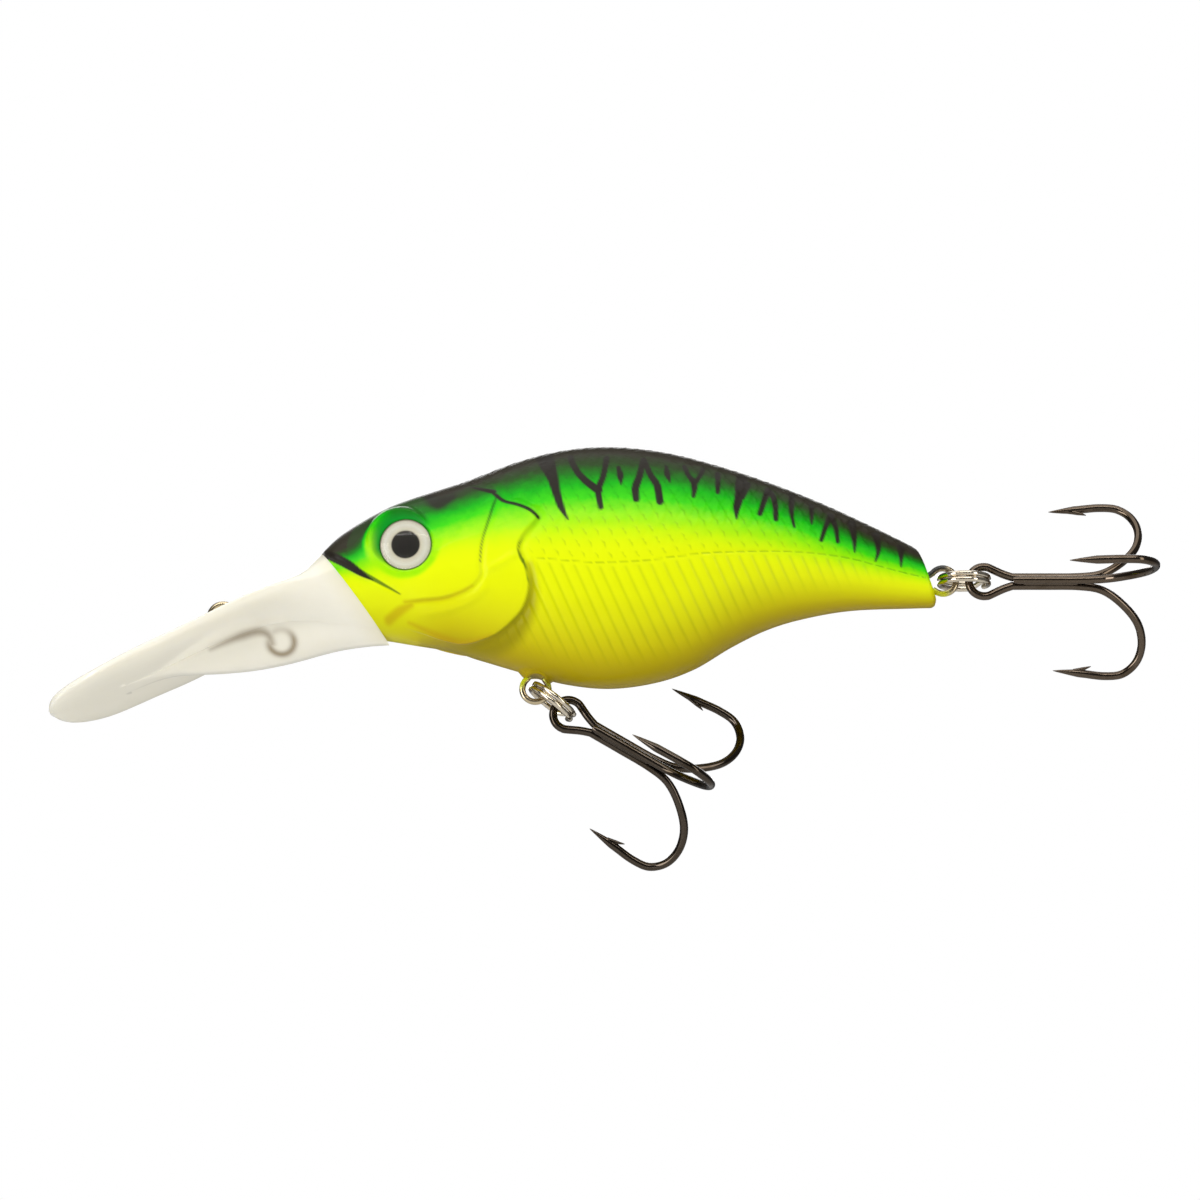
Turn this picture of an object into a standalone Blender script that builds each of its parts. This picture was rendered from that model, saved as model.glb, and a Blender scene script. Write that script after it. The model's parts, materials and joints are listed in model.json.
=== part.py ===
"""Crankbait lure: hollow body in two shells, diving lip, wire hangers, split rings and treble hooks.

Metres, +Z is up through the back, the head is towards -X, the left flank is at -Y. The origin is the
middle of the line-tie eye. The code below works in millimetres and scales each mesh by MM.
"""

import math

import bmesh
import bpy
from mathutils import Matrix, Vector

MM = 0.001

# Driving dimensions, in millimetres and degrees
WALL = 1.5
SEAM_GAP = 0.03  # each shell stops this far from the middle plane
FIT_GAP = 0.08  # round a wire, an eye or a tongue in its seat
AROUND = 28  # points round one section of the body

WIRE = 0.76  # line tie and hangers
WIRE_EYE = 1.56  # radius of a wire eye, to the middle of the wire
LINE_TIE_EYE = (0.0, 0.0)
LINE_TIE_ANCHOR = (7.4, -2.67)
BELLY_EYE = (37.5, -8.75)
BELLY_ANCHOR = (37.5, -2.1)
TAIL_EYE = (86.4, 4.43)
TAIL_ANCHOR = (79.9, 4.43)

NOSE_TIP = (11.75, 7.14)
LIP_JOINT_FOOT = (19.8, -3.15)  # the painted head ends on the line from the nose tip to here
TAIL_FACE = ((84.05, 6.8), (85.28, 2.1))

EYE_CENTRE = (22.2, 6.75, 7.35)
EYE_LEAN = (-0.06, 1.0, 0.04)
EYE_RADIUS = 3.0
DISC_THICK = 0.3
LENS_RIM = 0.25
LENS_HEIGHT = 0.85

RING_MEAN = 2.93  # split ring, to the middle of its wire
RING_WIRE = 0.66
RING_PITCH = 0.7
BELLY_PIVOT = (37.2, -8.5)
TAIL_PIVOT = (86.0, 4.43)
BELLY_RING_DEG = -37.5  # direction from the hanger to the ring's far side, seen from the left
TAIL_RING_DEG = 0.0

HOOK_WIRE = 1.0
HOOK_EYE = 1.8
SHANK_OFFSET = 0.61  # three shank wires round the hook's axis
HOOK_EYE_TO_SHANK = 3.4
RING_IN_EYE = 0.5
BELLY_HOOK_DEG = -30.3
TAIL_HOOK_DEG = 0.0

BALL_TRAVEL = 3.5
BALLS = (
    ("rattle_ball_front", 33.0, 8.6, 2.0),
    ("rattle_ball_middle", 44.5, 12.0, 2.0),
    ("rattle_ball_rear", 56.0, 9.0, 1.75),
)
BALLAST_X = (24.6, 33.4)
BALLAST_Z = 0.7
BALLAST_RADIUS = 2.6

# Inside and joining features
TONGUE_LOW = (12.0, -1.3, -1.2)
TONGUE_HIGH = (22.0, 1.3, 7.2)
PEG = (18.9, 3.2)
PEG_RADIUS = 1.45
CHAMBER_WALL = 1.0
BORE_GAP = 0.15
BALLAST_GAP = 0.06
RIB_FROM = (25.6, 31.2)
RIB_THICK = 1.4
RIB_ABOVE_BALLAST = 0.9
ANCHOR_BLOCK = (3.2, 2.4, 10.0, 3.0)
PINS = ((49.6, 12.4), (65.0, 9.94))
PIN_POST = 1.9
PIN_RADIUS = 0.95
PIN_TIP_RADIUS = 0.8
PIN_REACH = 1.2
PIN_GAP = 0.13

# Outside features: necks round the two hangers, and the raised rim and seat of each eye
NOTCH_RADIUS = 1.5
BELLY_NECK = ((4.5, 2.9), (1.0, 2.1))
TAIL_NECK = ((4.0, 2.3), (0.9, 1.9))
RIM_FROM = -2.2
RIM_TO = 0.35
RIM_RADII = (4.9, 3.75)
SEAT_DEPTH = 0.36
LENS_GAP = 0.04

# Body and lip, as (x, value): the back, the belly, the height of the widest place and the half width
BACK = (
    (-20.2, -11.6), (-19.4, -10.95), (-17.5, -10.0), (-14.0, -8.4), (-10.0, -6.4), (-6.0, -4.45),
    (-2.0, -2.45), (2.0, -0.15), (6.0, 2.4), (10.0, 5.0), (11.75, 7.1), (13.9, 9.5), (17.5, 12.0),
    (21.0, 13.8), (28.3, 16.2), (35.5, 19.0), (41.0, 20.4), (46.4, 20.8), (52.0, 20.3),
    (57.3, 19.1), (64.5, 16.8), (71.8, 13.9), (79.0, 10.5), (82.5, 8.7), (87.0, 6.2),
)
BELLY = (
    (-20.2, -11.9), (-19.4, -11.9), (-17.5, -11.4), (-14.0, -10.0), (-10.0, -8.2), (-6.0, -6.5),
    (-2.0, -4.7), (2.0, -3.1), (6.0, -1.9), (10.0, -1.8), (14.0, -2.3), (18.0, -2.6),
    (21.0, -3.0), (28.3, -4.5), (35.5, -6.6), (41.0, -8.1), (46.4, -8.65), (52.0, -7.9),
    (56.5, -6.3), (61.0, -3.6), (65.0, -1.6), (69.0, -0.3), (75.0, 0.8), (82.5, 1.1), (87.0, 1.2),
)
WIDEST = (
    (-20.2, -11.75), (-18.4, -11.2), (-15.0, -9.85), (-12.0, -8.3), (-8.3, -6.35), (-5.0, -4.75),
    (-2.0, -3.1), (1.8, -0.9), (5.2, 0.95), (8.5, 2.2), (12.0, 3.0), (16.0, 3.9), (20.0, 4.75),
    (28.0, 6.2), (46.0, 6.4), (60.0, 7.2), (72.0, 7.0), (87.0, 3.8),
)
HALF_WIDTH = (
    (-20.2, 0.9), (-19.8, 4.0), (-18.8, 7.3), (-17.0, 9.9), (-14.5, 11.7), (-11.0, 12.5), (-6.0, 12.7),
    (-2.0, 12.3), (2.0, 11.4), (6.0, 10.0), (9.0, 8.8), (12.0, 7.8), (16.0, 7.3), (22.0, 7.4), (30.0, 8.1),
    (40.0, 8.5), (50.0, 8.4), (58.0, 7.6), (66.0, 6.2), (74.0, 4.7), (82.0, 3.1), (87.0, 2.4),
)
STATIONS = (
    -20.2, -19.9, -19.4, -18.6, -17.2, -15.0, -12.0, -8.0, -4.0, 0.0, 3.0, 6.0, 8.5, 10.4, 11.75,
    13.0, 14.8, 17.2, 20.0, 23.5, 27.5, 32.0, 36.5, 41.0, 46.0, 50.5, 55.0, 59.0, 62.5, 66.5,
    71.0, 76.0, 81.0, 87.0,
)
KEEL_FLOOR = (
    (-8.0, -7.6), (-4.0, -7.0), (0.0, -6.8), (4.0, -6.4), (8.0, -5.6), (14.0, -4.0), (21.0, -2.95),
)
KEEL_HALF = ((-8.0, 1.2), (-4.0, 2.6), (2.0, 3.7), (10.0, 4.2), (16.0, 3.9), (21.0, 2.6))
KEEL_STATIONS = (-8.0, -6.0, -3.0, 1.0, 6.0, 11.0, 16.0, 21.0)
CAVITY_STATIONS = (24.6, 27.0, 31.0, 36.0, 41.0, 46.0, 51.0, 56.0, 60.0, 64.0, 69.0, 74.6)


def along(points, x):
    """Smooth curve through (x, value) points, read at x."""
    if x <= points[0][0]:
        return points[0][1]
    if x >= points[-1][0]:
        return points[-1][1]
    i = max(k for k in range(len(points) - 1) if points[k][0] <= x)
    (x0, a), (x1, b) = points[i], points[i + 1]
    before, after = points[max(i - 1, 0)], points[min(i + 2, len(points) - 1)]
    start = (b - before[1]) / (x1 - before[0]) * (x1 - x0)
    end = (after[1] - a) / (after[0] - x0) * (x1 - x0)
    t = (x - x0) / (x1 - x0)
    return (
        (2 * t**3 - 3 * t**2 + 1) * a
        + (t**3 - 2 * t**2 + t) * start
        + (3 * t**2 - 2 * t**3) * b
        + (t**3 - t**2) * end
    )


def paint(obj, colour, roughness, metallic):
    """A plain material of the piece's own colour."""
    material = bpy.data.materials.new(obj.name)
    material.use_nodes = True
    shader = material.node_tree.nodes["Principled BSDF"]
    shader.inputs["Base Color"].default_value = (*colour, 1.0)
    shader.inputs["Roughness"].default_value = roughness
    shader.inputs["Metallic"].default_value = metallic
    obj.data.materials.clear()
    obj.data.materials.append(material)


def object_of(name, bm):
    """An object in the scene from a bmesh held in millimetres."""
    bmesh.ops.recalc_face_normals(bm, faces=bm.faces)
    bmesh.ops.scale(bm, vec=(MM, MM, MM), verts=bm.verts)
    mesh = bpy.data.meshes.new(name)
    bm.to_mesh(mesh)
    bm.free()
    obj = bpy.data.objects.new(name, mesh)
    bpy.context.scene.collection.objects.link(obj)
    return obj


def evaluated(obj):
    """The object's mesh with its modifiers applied."""
    graph = bpy.context.evaluated_depsgraph_get()
    mesh = bpy.data.meshes.new_from_object(obj.evaluated_get(graph), depsgraph=graph)
    obj.modifiers.clear()
    obj.data = mesh


def combine(obj, tool, operation):
    """One Boolean, applied, after which the tool is removed."""
    modifier = obj.modifiers.new(operation.lower(), "BOOLEAN")
    modifier.operation = operation
    modifier.solver = "EXACT"
    modifier.object = tool
    evaluated(obj)
    bpy.data.objects.remove(tool)


def copy_of(obj, name):
    twin = bpy.data.objects.new(name, obj.data.copy())
    bpy.context.scene.collection.objects.link(twin)
    return twin


def loft(name, stations, section):
    """A closed solid through one ring of (y, z) points at each x."""
    bm = bmesh.new()
    rings = []
    for x in stations:
        rings.append([bm.verts.new((x, y, z)) for y, z in section(x)])
    for first, second in zip(rings, rings[1:]):
        for k in range(len(first)):
            j = (k + 1) % len(first)
            bm.faces.new((first[k], first[j], second[j], second[k]))
    bm.faces.new(rings[0])
    bm.faces.new(rings[-1])
    return object_of(name, bm)


def box(name, low, high):
    bm = bmesh.new()
    bmesh.ops.create_cube(bm, size=1.0)
    size = [b - a for a, b in zip(low, high)]
    middle = [(a + b) / 2 for a, b in zip(low, high)]
    bmesh.ops.scale(bm, vec=size, verts=bm.verts)
    bmesh.ops.translate(bm, vec=middle, verts=bm.verts)
    return object_of(name, bm)


def rod(name, start, end, radius, end_radius=None, segments=24):
    """A cylinder or cone from one point to another."""
    start, end = Vector(start), Vector(end)
    bm = bmesh.new()
    bmesh.ops.create_cone(
        bm,
        cap_ends=True,
        segments=segments,
        radius1=radius,
        radius2=radius if end_radius is None else end_radius,
        depth=(end - start).length,
    )
    turn = Vector((0, 0, 1)).rotation_difference(end - start).to_matrix().to_4x4()
    bmesh.ops.transform(bm, matrix=Matrix.Translation((start + end) / 2) @ turn, verts=bm.verts)
    return object_of(name, bm)


def tube(name, points, radius, taper=None, sides=8):
    """A round wire through the points, closed at both ends."""
    curve = bpy.data.curves.new(name, "CURVE")
    curve.dimensions = "3D"
    curve.bevel_depth = radius * MM
    curve.bevel_resolution = sides // 4
    curve.use_fill_caps = True
    spline = curve.splines.new("POLY")
    spline.points.add(len(points) - 1)
    for k, point in enumerate(points):
        spline.points[k].co = (*(c * MM for c in point), 1.0)
        spline.points[k].radius = taper[k] if taper else 1.0
    source = bpy.data.objects.new(name + "_path", curve)
    bpy.context.scene.collection.objects.link(source)
    graph = bpy.context.evaluated_depsgraph_get()
    mesh = bpy.data.meshes.new_from_object(source.evaluated_get(graph), depsgraph=graph)
    bpy.data.objects.remove(source)
    bm = bmesh.new()
    bm.from_mesh(mesh)
    bmesh.ops.remove_doubles(bm, verts=bm.verts, dist=1e-7)
    bmesh.ops.scale(bm, vec=(1 / MM, 1 / MM, 1 / MM), verts=bm.verts)
    return object_of(name, bm)


def smooth_path(points, steps):
    """More points along a smooth curve through the given ones."""
    points = [Vector(p) for p in points]
    path = []
    for k in range(len(points) - 1):
        before, a = points[max(k - 1, 0)], points[k]
        b, after = points[k + 1], points[min(k + 2, len(points) - 1)]
        for s in range(steps):
            t = s / steps
            path.append(
                0.5 * ((2 * a) + (b - before) * t + (2 * before - 5 * a + 4 * b - after) * t**2
                       + (3 * a - before - 3 * b + after) * t**3)
            )
    return path + [points[-1]]


def arc(centre, radius, start, end, step=24.0):
    """Points in the middle plane on a circle, angles in degrees from +X towards +Z."""
    count = max(2, math.ceil(abs(end - start) / step))
    turns = [math.radians(start + (end - start) * k / count) for k in range(count + 1)]
    return [(centre[0] + radius * math.cos(t), 0.0, centre[1] + radius * math.sin(t)) for t in turns]


def finish(obj, colour, roughness, metallic, origin=None, sharp=35.0):
    """Shades the piece smooth between sharp edges, sets its origin, and paints it."""
    if origin is not None:
        place = Vector(origin) * MM
        obj.data.transform(Matrix.Translation(-place))
        obj.location = place
    obj.data.shade_smooth()
    obj.data.set_sharp_from_angle(angle=math.radians(sharp))
    paint(obj, colour, roughness, metallic)
    return obj


def oval(half_width, widest, top, bottom, power, count=AROUND):
    """A closed ring of (y, z) points: an oval whose upper and lower halves have their own heights."""
    ring = []
    for k in range(count):
        turn = 2 * math.pi * (k + 0.5) / count
        across, up = math.cos(turn), math.sin(turn)
        y = half_width * math.copysign(abs(across) ** (2 / power), across)
        rise = math.copysign(abs(up) ** (2 / power), up)
        ring.append((y, widest + rise * ((top - widest) if up > 0 else (widest - bottom))))
    return ring


def hull_section(x, inset=0.0):
    power = 2.1 + 1.5 * min(1.0, max(0.0, (8.0 - x) / 8.0))
    return oval(
        along(HALF_WIDTH, x) - inset,
        along(WIDEST, x),
        along(BACK, x) - inset,
        along(BELLY, x) + inset,
        power,
    )


def keel_section(x):
    floor = along(KEEL_FLOOR, x)
    top = along(WIDEST, x) + 0.1
    return oval(along(KEEL_HALF, x), (floor + top) / 2, top, floor, 2.8, count=16)


def front_of(name, start, end, reach, shift=0.0):
    """A block on the -X side of the line from start down to end in the middle plane."""
    (x0, z0), (x1, z1) = start, end
    direction = Vector((x1 - x0, 0, z1 - z0)).normalized()
    normal = Vector((direction.z, 0, -direction.x))
    top = Vector((x0, 0, z0)) - direction * reach + normal * shift
    foot = Vector((x1, 0, z1)) + direction * reach + normal * shift
    bm = bmesh.new()
    corners = [top, foot, foot + normal * 2 * reach, top + normal * 2 * reach]
    face = bm.faces.new([bm.verts.new(c + Vector((0, -30.0, 0))) for c in corners])
    swept = bmesh.ops.extrude_face_region(bm, geom=[face])
    moved = [v for v in swept["geom"] if isinstance(v, bmesh.types.BMVert)]
    bmesh.ops.translate(bm, vec=(0, 60.0, 0), verts=moved)
    return object_of(name, bm)


def whole_form():
    """Body and lip as one smooth form, before it is parted at the nose."""
    form = loft("form", STATIONS, hull_section)
    combine(form, loft("keel", KEEL_STATIONS, keel_section), "UNION")
    return form


def eye_axis(side):
    return Vector((EYE_LEAN[0], side * EYE_LEAN[1], EYE_LEAN[2])).normalized()


def eye_point(side, height):
    """A point on the eye's axis, this far above the disc's face."""
    return Vector((EYE_CENTRE[0], side * EYE_CENTRE[1], EYE_CENTRE[2])) + eye_axis(side) * height


def wire_path(outer, outer_turn, leg, inner, inner_turn):
    """One wire: round the outer eye, along the leg, round the anchor eye."""
    leg_path = smooth_path([(x, 0.0, z) for x, z in leg], 2)
    return (
        arc(outer, WIRE_EYE, *outer_turn)
        + [tuple(p) for p in leg_path]
        + arc(inner, WIRE_EYE, *inner_turn)
    )


def line_tie_path():
    leg = ((-1.25, -1.9), (-0.7, -3.0), (0.5, -3.4), (2.6, -2.95), (5.0, -2.0))
    return wire_path(LINE_TIE_EYE, (-62.0, 205.0), leg, LINE_TIE_ANCHOR, (118.0, -165.0))


def belly_hanger_path():
    x, z = BELLY_EYE
    leg = ((x - 0.4, z + 2.1), (x, z + 3.0), (x + 0.15, z + 4.1))
    return wire_path(BELLY_EYE, (52.0, -232.0), leg, BELLY_ANCHOR, (-62.0, 232.0))


def tail_hanger_path():
    x, z = TAIL_EYE
    leg = ((x - 2.1, z + 0.4), (x - 3.0, z), (x - 4.1, z - 0.15))
    return wire_path(TAIL_EYE, (218.0, 502.0), leg, TAIL_ANCHOR, (-28.0, -322.0))


def tongue_block(name, gap):
    """The lip's tongue, or with a gap the slot for it, with the hole for the shells' peg."""
    low = (TONGUE_LOW[0], TONGUE_LOW[1] - gap, TONGUE_LOW[2] - gap)
    high = [value + gap for value in TONGUE_HIGH]
    tongue = box(name, low, high)
    x, z = PEG
    peg = rod("peg", (x, -5, z), (x, 5, z), PEG_RADIUS - gap)
    combine(tongue, peg, "DIFFERENCE")
    return tongue


def lip_and_tie(form):
    """The moulded lip with its wire: lip is all of the form in front of the joint, plus the tongue."""
    lip = copy_of(form, "diving_lip")
    combine(lip, front_of("front", NOSE_TIP, LIP_JOINT_FOOT, 40.0, SEAM_GAP), "INTERSECT")
    combine(lip, tongue_block("tongue", 0.0), "UNION")
    path = line_tie_path()
    combine(lip, tube("bed", path, WIRE / 2 + FIT_GAP), "DIFFERENCE")
    finish(lip, (0.84, 0.82, 0.70), 0.25, 0.0)
    finish(tube("line_tie_wire", path, WIRE / 2), (0.72, 0.70, 0.66), 0.25, 1.0)


def cavity():
    """The hollow of the body, less everything that stands inside it."""
    hollow = loft("hollow", CAVITY_STATIONS, lambda x: hull_section(x, WALL))
    for name, x, z, radius in BALLS:
        post = rod(name + "_chamber", (x, -12, z), (x, 12, z), radius + CHAMBER_WALL, segments=20)
        combine(hollow, post, "DIFFERENCE")
    rib_top = BALLAST_Z + BALLAST_RADIUS + RIB_ABOVE_BALLAST
    for x in RIB_FROM:
        combine(hollow, box("rib", (x, -12, -12), (x + RIB_THICK, 12, rib_top)), "DIFFERENCE")
    x, z = BELLY_ANCHOR
    half, deep, down, up = ANCHOR_BLOCK
    combine(hollow, box("block", (x - half, -deep, z - down), (x + half, deep, z + up)), "DIFFERENCE")
    for x, z in PINS:
        combine(hollow, rod("post", (x, -12, z), (x, 12, z), PIN_POST), "DIFFERENCE")
    return hollow


def hanger_bosses(body):
    """Short necks moulded round the two hangers, notched so that a ring turns freely in each eye."""
    x, z = BELLY_EYE
    (root, wide), (end, narrow) = BELLY_NECK
    boss = rod("boss", (x, 0, z + root), (x, 0, z + end), wide, narrow, segments=20)
    combine(boss, rod("notch", (x, -6, z), (x, 6, z), NOTCH_RADIUS, segments=20), "DIFFERENCE")
    combine(body, boss, "UNION")
    x, z = TAIL_EYE
    (root, wide), (end, narrow) = TAIL_NECK
    boss = rod("boss", (x - root, 0, z), (x - end, 0, z), wide, narrow, segments=20)
    combine(boss, rod("notch", (x, -6, z), (x, 6, z), NOTCH_RADIUS, segments=20), "DIFFERENCE")
    combine(body, boss, "UNION")


def shells(form):
    """Both halves of the body, parted on the middle plane."""
    body = copy_of(form, "body")
    combine(body, front_of("front", NOSE_TIP, LIP_JOINT_FOOT, 40.0, -SEAM_GAP), "DIFFERENCE")
    tail = front_of("tail", *TAIL_FACE, 40.0)
    combine(body, tail, "INTERSECT")
    hanger_bosses(body)
    seat_radius = EYE_RADIUS + FIT_GAP
    for side in (-1, 1):
        rim = rod("rim", eye_point(side, RIM_FROM), eye_point(side, RIM_TO), *RIM_RADII, segments=28)
        combine(body, rim, "UNION")
        seat = rod("seat", eye_point(side, -SEAT_DEPTH), eye_point(side, 5), seat_radius, segments=28)
        combine(body, seat, "DIFFERENCE")
    combine(body, cavity(), "DIFFERENCE")
    for name, x, z, radius in BALLS:
        half = BALL_TRAVEL + radius + BORE_GAP
        bore = rod(name + "_bore", (x, -half, z), (x, half, z), radius + BORE_GAP, segments=20)
        combine(body, bore, "DIFFERENCE")
    start = (BALLAST_X[0] - BALLAST_GAP, 0, BALLAST_Z)
    end = (BALLAST_X[1] + BALLAST_GAP, 0, BALLAST_Z)
    combine(body, rod("bore", start, end, BALLAST_RADIUS + BALLAST_GAP, segments=20), "DIFFERENCE")
    combine(body, tongue_block("slot", FIT_GAP), "DIFFERENCE")
    combine(body, tube("bed", belly_hanger_path(), WIRE / 2 + FIT_GAP), "DIFFERENCE")
    combine(body, tube("bed", tail_hanger_path(), WIRE / 2 + FIT_GAP), "DIFFERENCE")
    halves = (("shell_left", -30.0, -SEAM_GAP), ("shell_right", SEAM_GAP, 30.0))
    for name, low, high in halves:
        shell = copy_of(body, name)
        combine(shell, box("half", (-40, low, -40), (120, high, 40)), "INTERSECT")
        for x, z in PINS:
            join_pin(shell, x, z, name == "shell_right")
        finish(shell, (0.55, 0.70, 0.02), 0.28, 0.0)
    bpy.data.objects.remove(body)


def join_pin(shell, x, z, stands_out):
    """A tapered pin on the right shell, or the hole for it in the left one."""
    if stands_out:
        pin = rod("pin", (x, 1.0, z), (x, -PIN_REACH, z), PIN_RADIUS, PIN_TIP_RADIUS, segments=16)
        combine(shell, pin, "UNION")
    else:
        hole = rod("hole", (x, 1.0, z), (x, -PIN_REACH - 0.4, z), PIN_RADIUS + PIN_GAP, segments=16)
        combine(shell, hole, "DIFFERENCE")


def eyes():
    for name, side in (("left", -1), ("right", 1)):
        back, face = eye_point(side, -DISC_THICK), eye_point(side, 0)
        disc = rod("eye_disc_" + name, back, face, EYE_RADIUS, segments=28)
        finish(disc, (0.78, 0.74, 0.64), 0.35, 0.0)
        lens = lens_solid("eye_lens_" + name, side)
        finish(lens, (0.9, 0.9, 0.88), 0.05, 0.0)


def lens_solid(name, side):
    """A low clear dome: a short rim, then a cap that closes in three rings."""
    bm = bmesh.new()
    bmesh.ops.create_circle(bm, cap_ends=True, segments=28, radius=EYE_RADIUS)
    face = bm.faces[:]
    for step in range(4):
        turn = math.radians(90.0 * (step + 1) / 5)
        rise = LENS_RIM if step == 0 else (LENS_HEIGHT - LENS_RIM) * (
            math.sin(turn) - math.sin(math.radians(90.0 * step / 5)))
        wide = 1.0 if step == 0 else math.cos(turn) / math.cos(math.radians(90.0 * step / 5))
        grown = bmesh.ops.extrude_face_region(bm, geom=face)["geom"]
        verts = [g for g in grown if isinstance(g, bmesh.types.BMVert)]
        if step > 0:
            bmesh.ops.delete(bm, geom=face, context="FACES_ONLY")
        face = [g for g in grown if isinstance(g, bmesh.types.BMFace)]
        bmesh.ops.translate(bm, vec=(0, 0, rise), verts=verts)
        bmesh.ops.scale(bm, vec=(wide, wide, 1), verts=verts)
    turn = Vector((0, 0, 1)).rotation_difference(eye_axis(side)).to_matrix().to_4x4()
    place = Matrix.Translation(eye_point(side, LENS_GAP)) @ turn
    bmesh.ops.transform(bm, matrix=place, verts=bm.verts)
    return object_of(name, bm)


def insides():
    """Steel balls in their cross chambers, and the ballast slug."""
    for name, x, z, radius in BALLS:
        bm = bmesh.new()
        bmesh.ops.create_icosphere(bm, subdivisions=2, radius=radius)
        bmesh.ops.translate(bm, vec=(x, 0, z), verts=bm.verts)
        ball = object_of(name, bm)
        finish(ball, (0.6, 0.6, 0.62), 0.25, 1.0, origin=(x, 0, z))
    start, end = [(x, 0, BALLAST_Z) for x in BALLAST_X]
    slug = rod("ballast_weight", start, end, BALLAST_RADIUS, segments=20)
    finish(slug, (0.35, 0.36, 0.38), 0.5, 1.0)


def chain_frame(origin, degrees):
    """Places x along the chain, y across the lure and z square to both, seen from the left."""
    turn = Matrix.Rotation(math.radians(-degrees), 4, "Y")
    return Matrix.Translation((origin[0], 0, origin[1])) @ turn


def split_ring(name, pivot, degrees):
    """Two turns of wire, with one quick step from the first turn to the second."""
    frame = chain_frame(pivot, degrees)
    path = []
    for k in range(56):
        turn = 22.0 + (698.0 - 22.0) * k / 55
        step = min(1.0, max(0.0, (turn - 338.0) / 44.0))
        side = RING_PITCH * (step * step * (3 - 2 * step) - 0.5)
        angle = math.radians(turn + 35.0)
        place = Vector((RING_MEAN * (1 + math.sin(angle)), RING_MEAN * math.cos(angle), side))
        path.append(frame @ place)
    ring = tube(name, path, RING_WIRE / 2)
    finish(ring, (0.75, 0.73, 0.68), 0.15, 1.0, origin=(pivot[0], 0, pivot[1]))


# One prong in its own plane, as (along the shank, out from the axis), from the shank to the point
PRONG = (
    (0.0, SHANK_OFFSET), (4.0, SHANK_OFFSET), (8.0, SHANK_OFFSET + 0.05), (10.8, 1.15), (13.2, 2.8),
    (15.2, 5.2), (15.9, 7.8), (15.4, 10.2), (13.8, 11.8), (11.6, 12.1), (9.0, 11.8), (6.8, 11.55),
    (5.3, 11.4),
)
POINT_LENGTH = 2.4


def prong_points(frame, turn, start=0):
    """The prong's path and its taper to the point, turned round the shank."""
    out = Vector((0, -math.cos(math.radians(turn)), math.sin(math.radians(turn))))
    flat = smooth_path([(s, r, 0.0) for s, r in PRONG[start:]], 2)
    path = [frame @ (Vector((p.x, 0, 0)) + out * p.y) for p in flat]
    tip = flat[-1]
    taper = []
    for p in flat:
        on_point = p.y > 11.0 and p.x < 10.0
        taper.append(min(1.0, 0.08 + (p - tip).length / POINT_LENGTH) if on_point else 1.0)
    return path, taper


def barb(hook, frame, turn):
    """A small raised sliver on the inside of the point, leaning back from it."""
    out = Vector((0, -math.cos(math.radians(turn)), math.sin(math.radians(turn))))
    start = frame @ (Vector((7.6, 0, 0)) + out * 11.5)
    end = frame @ (Vector((10.3, 0, 0)) + out * 10.75)
    combine(hook, rod("barb", start, end, 0.36, 0.06, segments=6), "UNION")


def treble(name, pivot, ring_degrees, degrees):
    """Two pieces: a double hook bent from one wire, and a third hook brazed between its shanks."""
    contact = chain_frame(pivot, ring_degrees) @ Vector((2 * RING_MEAN, 0, 0))
    frame = chain_frame((contact.x, contact.z), degrees) @ Matrix.Translation(
        (HOOK_EYE_TO_SHANK - RING_IN_EYE, 0, 0)
    )
    up, up_taper = prong_points(frame, 120.0)
    down, down_taper = prong_points(frame, -120.0)
    lift = SHANK_OFFSET * 0.5
    high = SHANK_OFFSET * math.sin(math.radians(120.0))
    eye = [
        frame @ Vector((
            -HOOK_EYE_TO_SHANK + HOOK_EYE * math.cos(math.radians(t)),
            lift,
            HOOK_EYE * math.sin(math.radians(t)),
        ))
        for t in range(40, 321, 20)
    ]
    neck = [frame @ Vector((-1.0, lift, high + 0.1)), frame @ Vector((-1.0, lift, -high - 0.1))]
    path = up[::-1] + [neck[0]] + eye + [neck[1]] + down
    taper = up_taper[::-1] + [1.0] * (len(eye) + 2) + down_taper
    double = tube(name + "_double", path, HOOK_WIRE / 2, taper)
    single_path, single_taper = prong_points(frame, 0.0)
    single = tube(name + "_single", single_path, HOOK_WIRE / 2, single_taper)
    barb(double, frame, 120.0)
    barb(double, frame, -120.0)
    barb(single, frame, 0.0)
    pin = frame @ Vector((-HOOK_EYE_TO_SHANK - HOOK_EYE, 0, 0))
    for piece in (double, single):
        finish(piece, (0.16, 0.15, 0.15), 0.22, 1.0, origin=pin)


def main():
    for obj in list(bpy.data.objects):
        bpy.data.objects.remove(obj)
    form = whole_form()
    lip_and_tie(form)
    shells(form)
    bpy.data.objects.remove(form)
    finish(tube("belly_hanger_wire", belly_hanger_path(), WIRE / 2), (0.7, 0.68, 0.6), 0.25, 1.0)
    finish(tube("tail_hanger_wire", tail_hanger_path(), WIRE / 2), (0.7, 0.68, 0.6), 0.25, 1.0)
    eyes()
    insides()
    split_ring("belly_split_ring", BELLY_PIVOT, BELLY_RING_DEG)
    split_ring("tail_split_ring", TAIL_PIVOT, TAIL_RING_DEG)
    treble("belly_treble", BELLY_PIVOT, BELLY_RING_DEG, BELLY_HOOK_DEG)
    treble("tail_treble", TAIL_PIVOT, TAIL_RING_DEG, TAIL_HOOK_DEG)


main()
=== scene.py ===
import json
import math

import bmesh
import bpy
import numpy as np
from mathutils import Matrix, Vector


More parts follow.
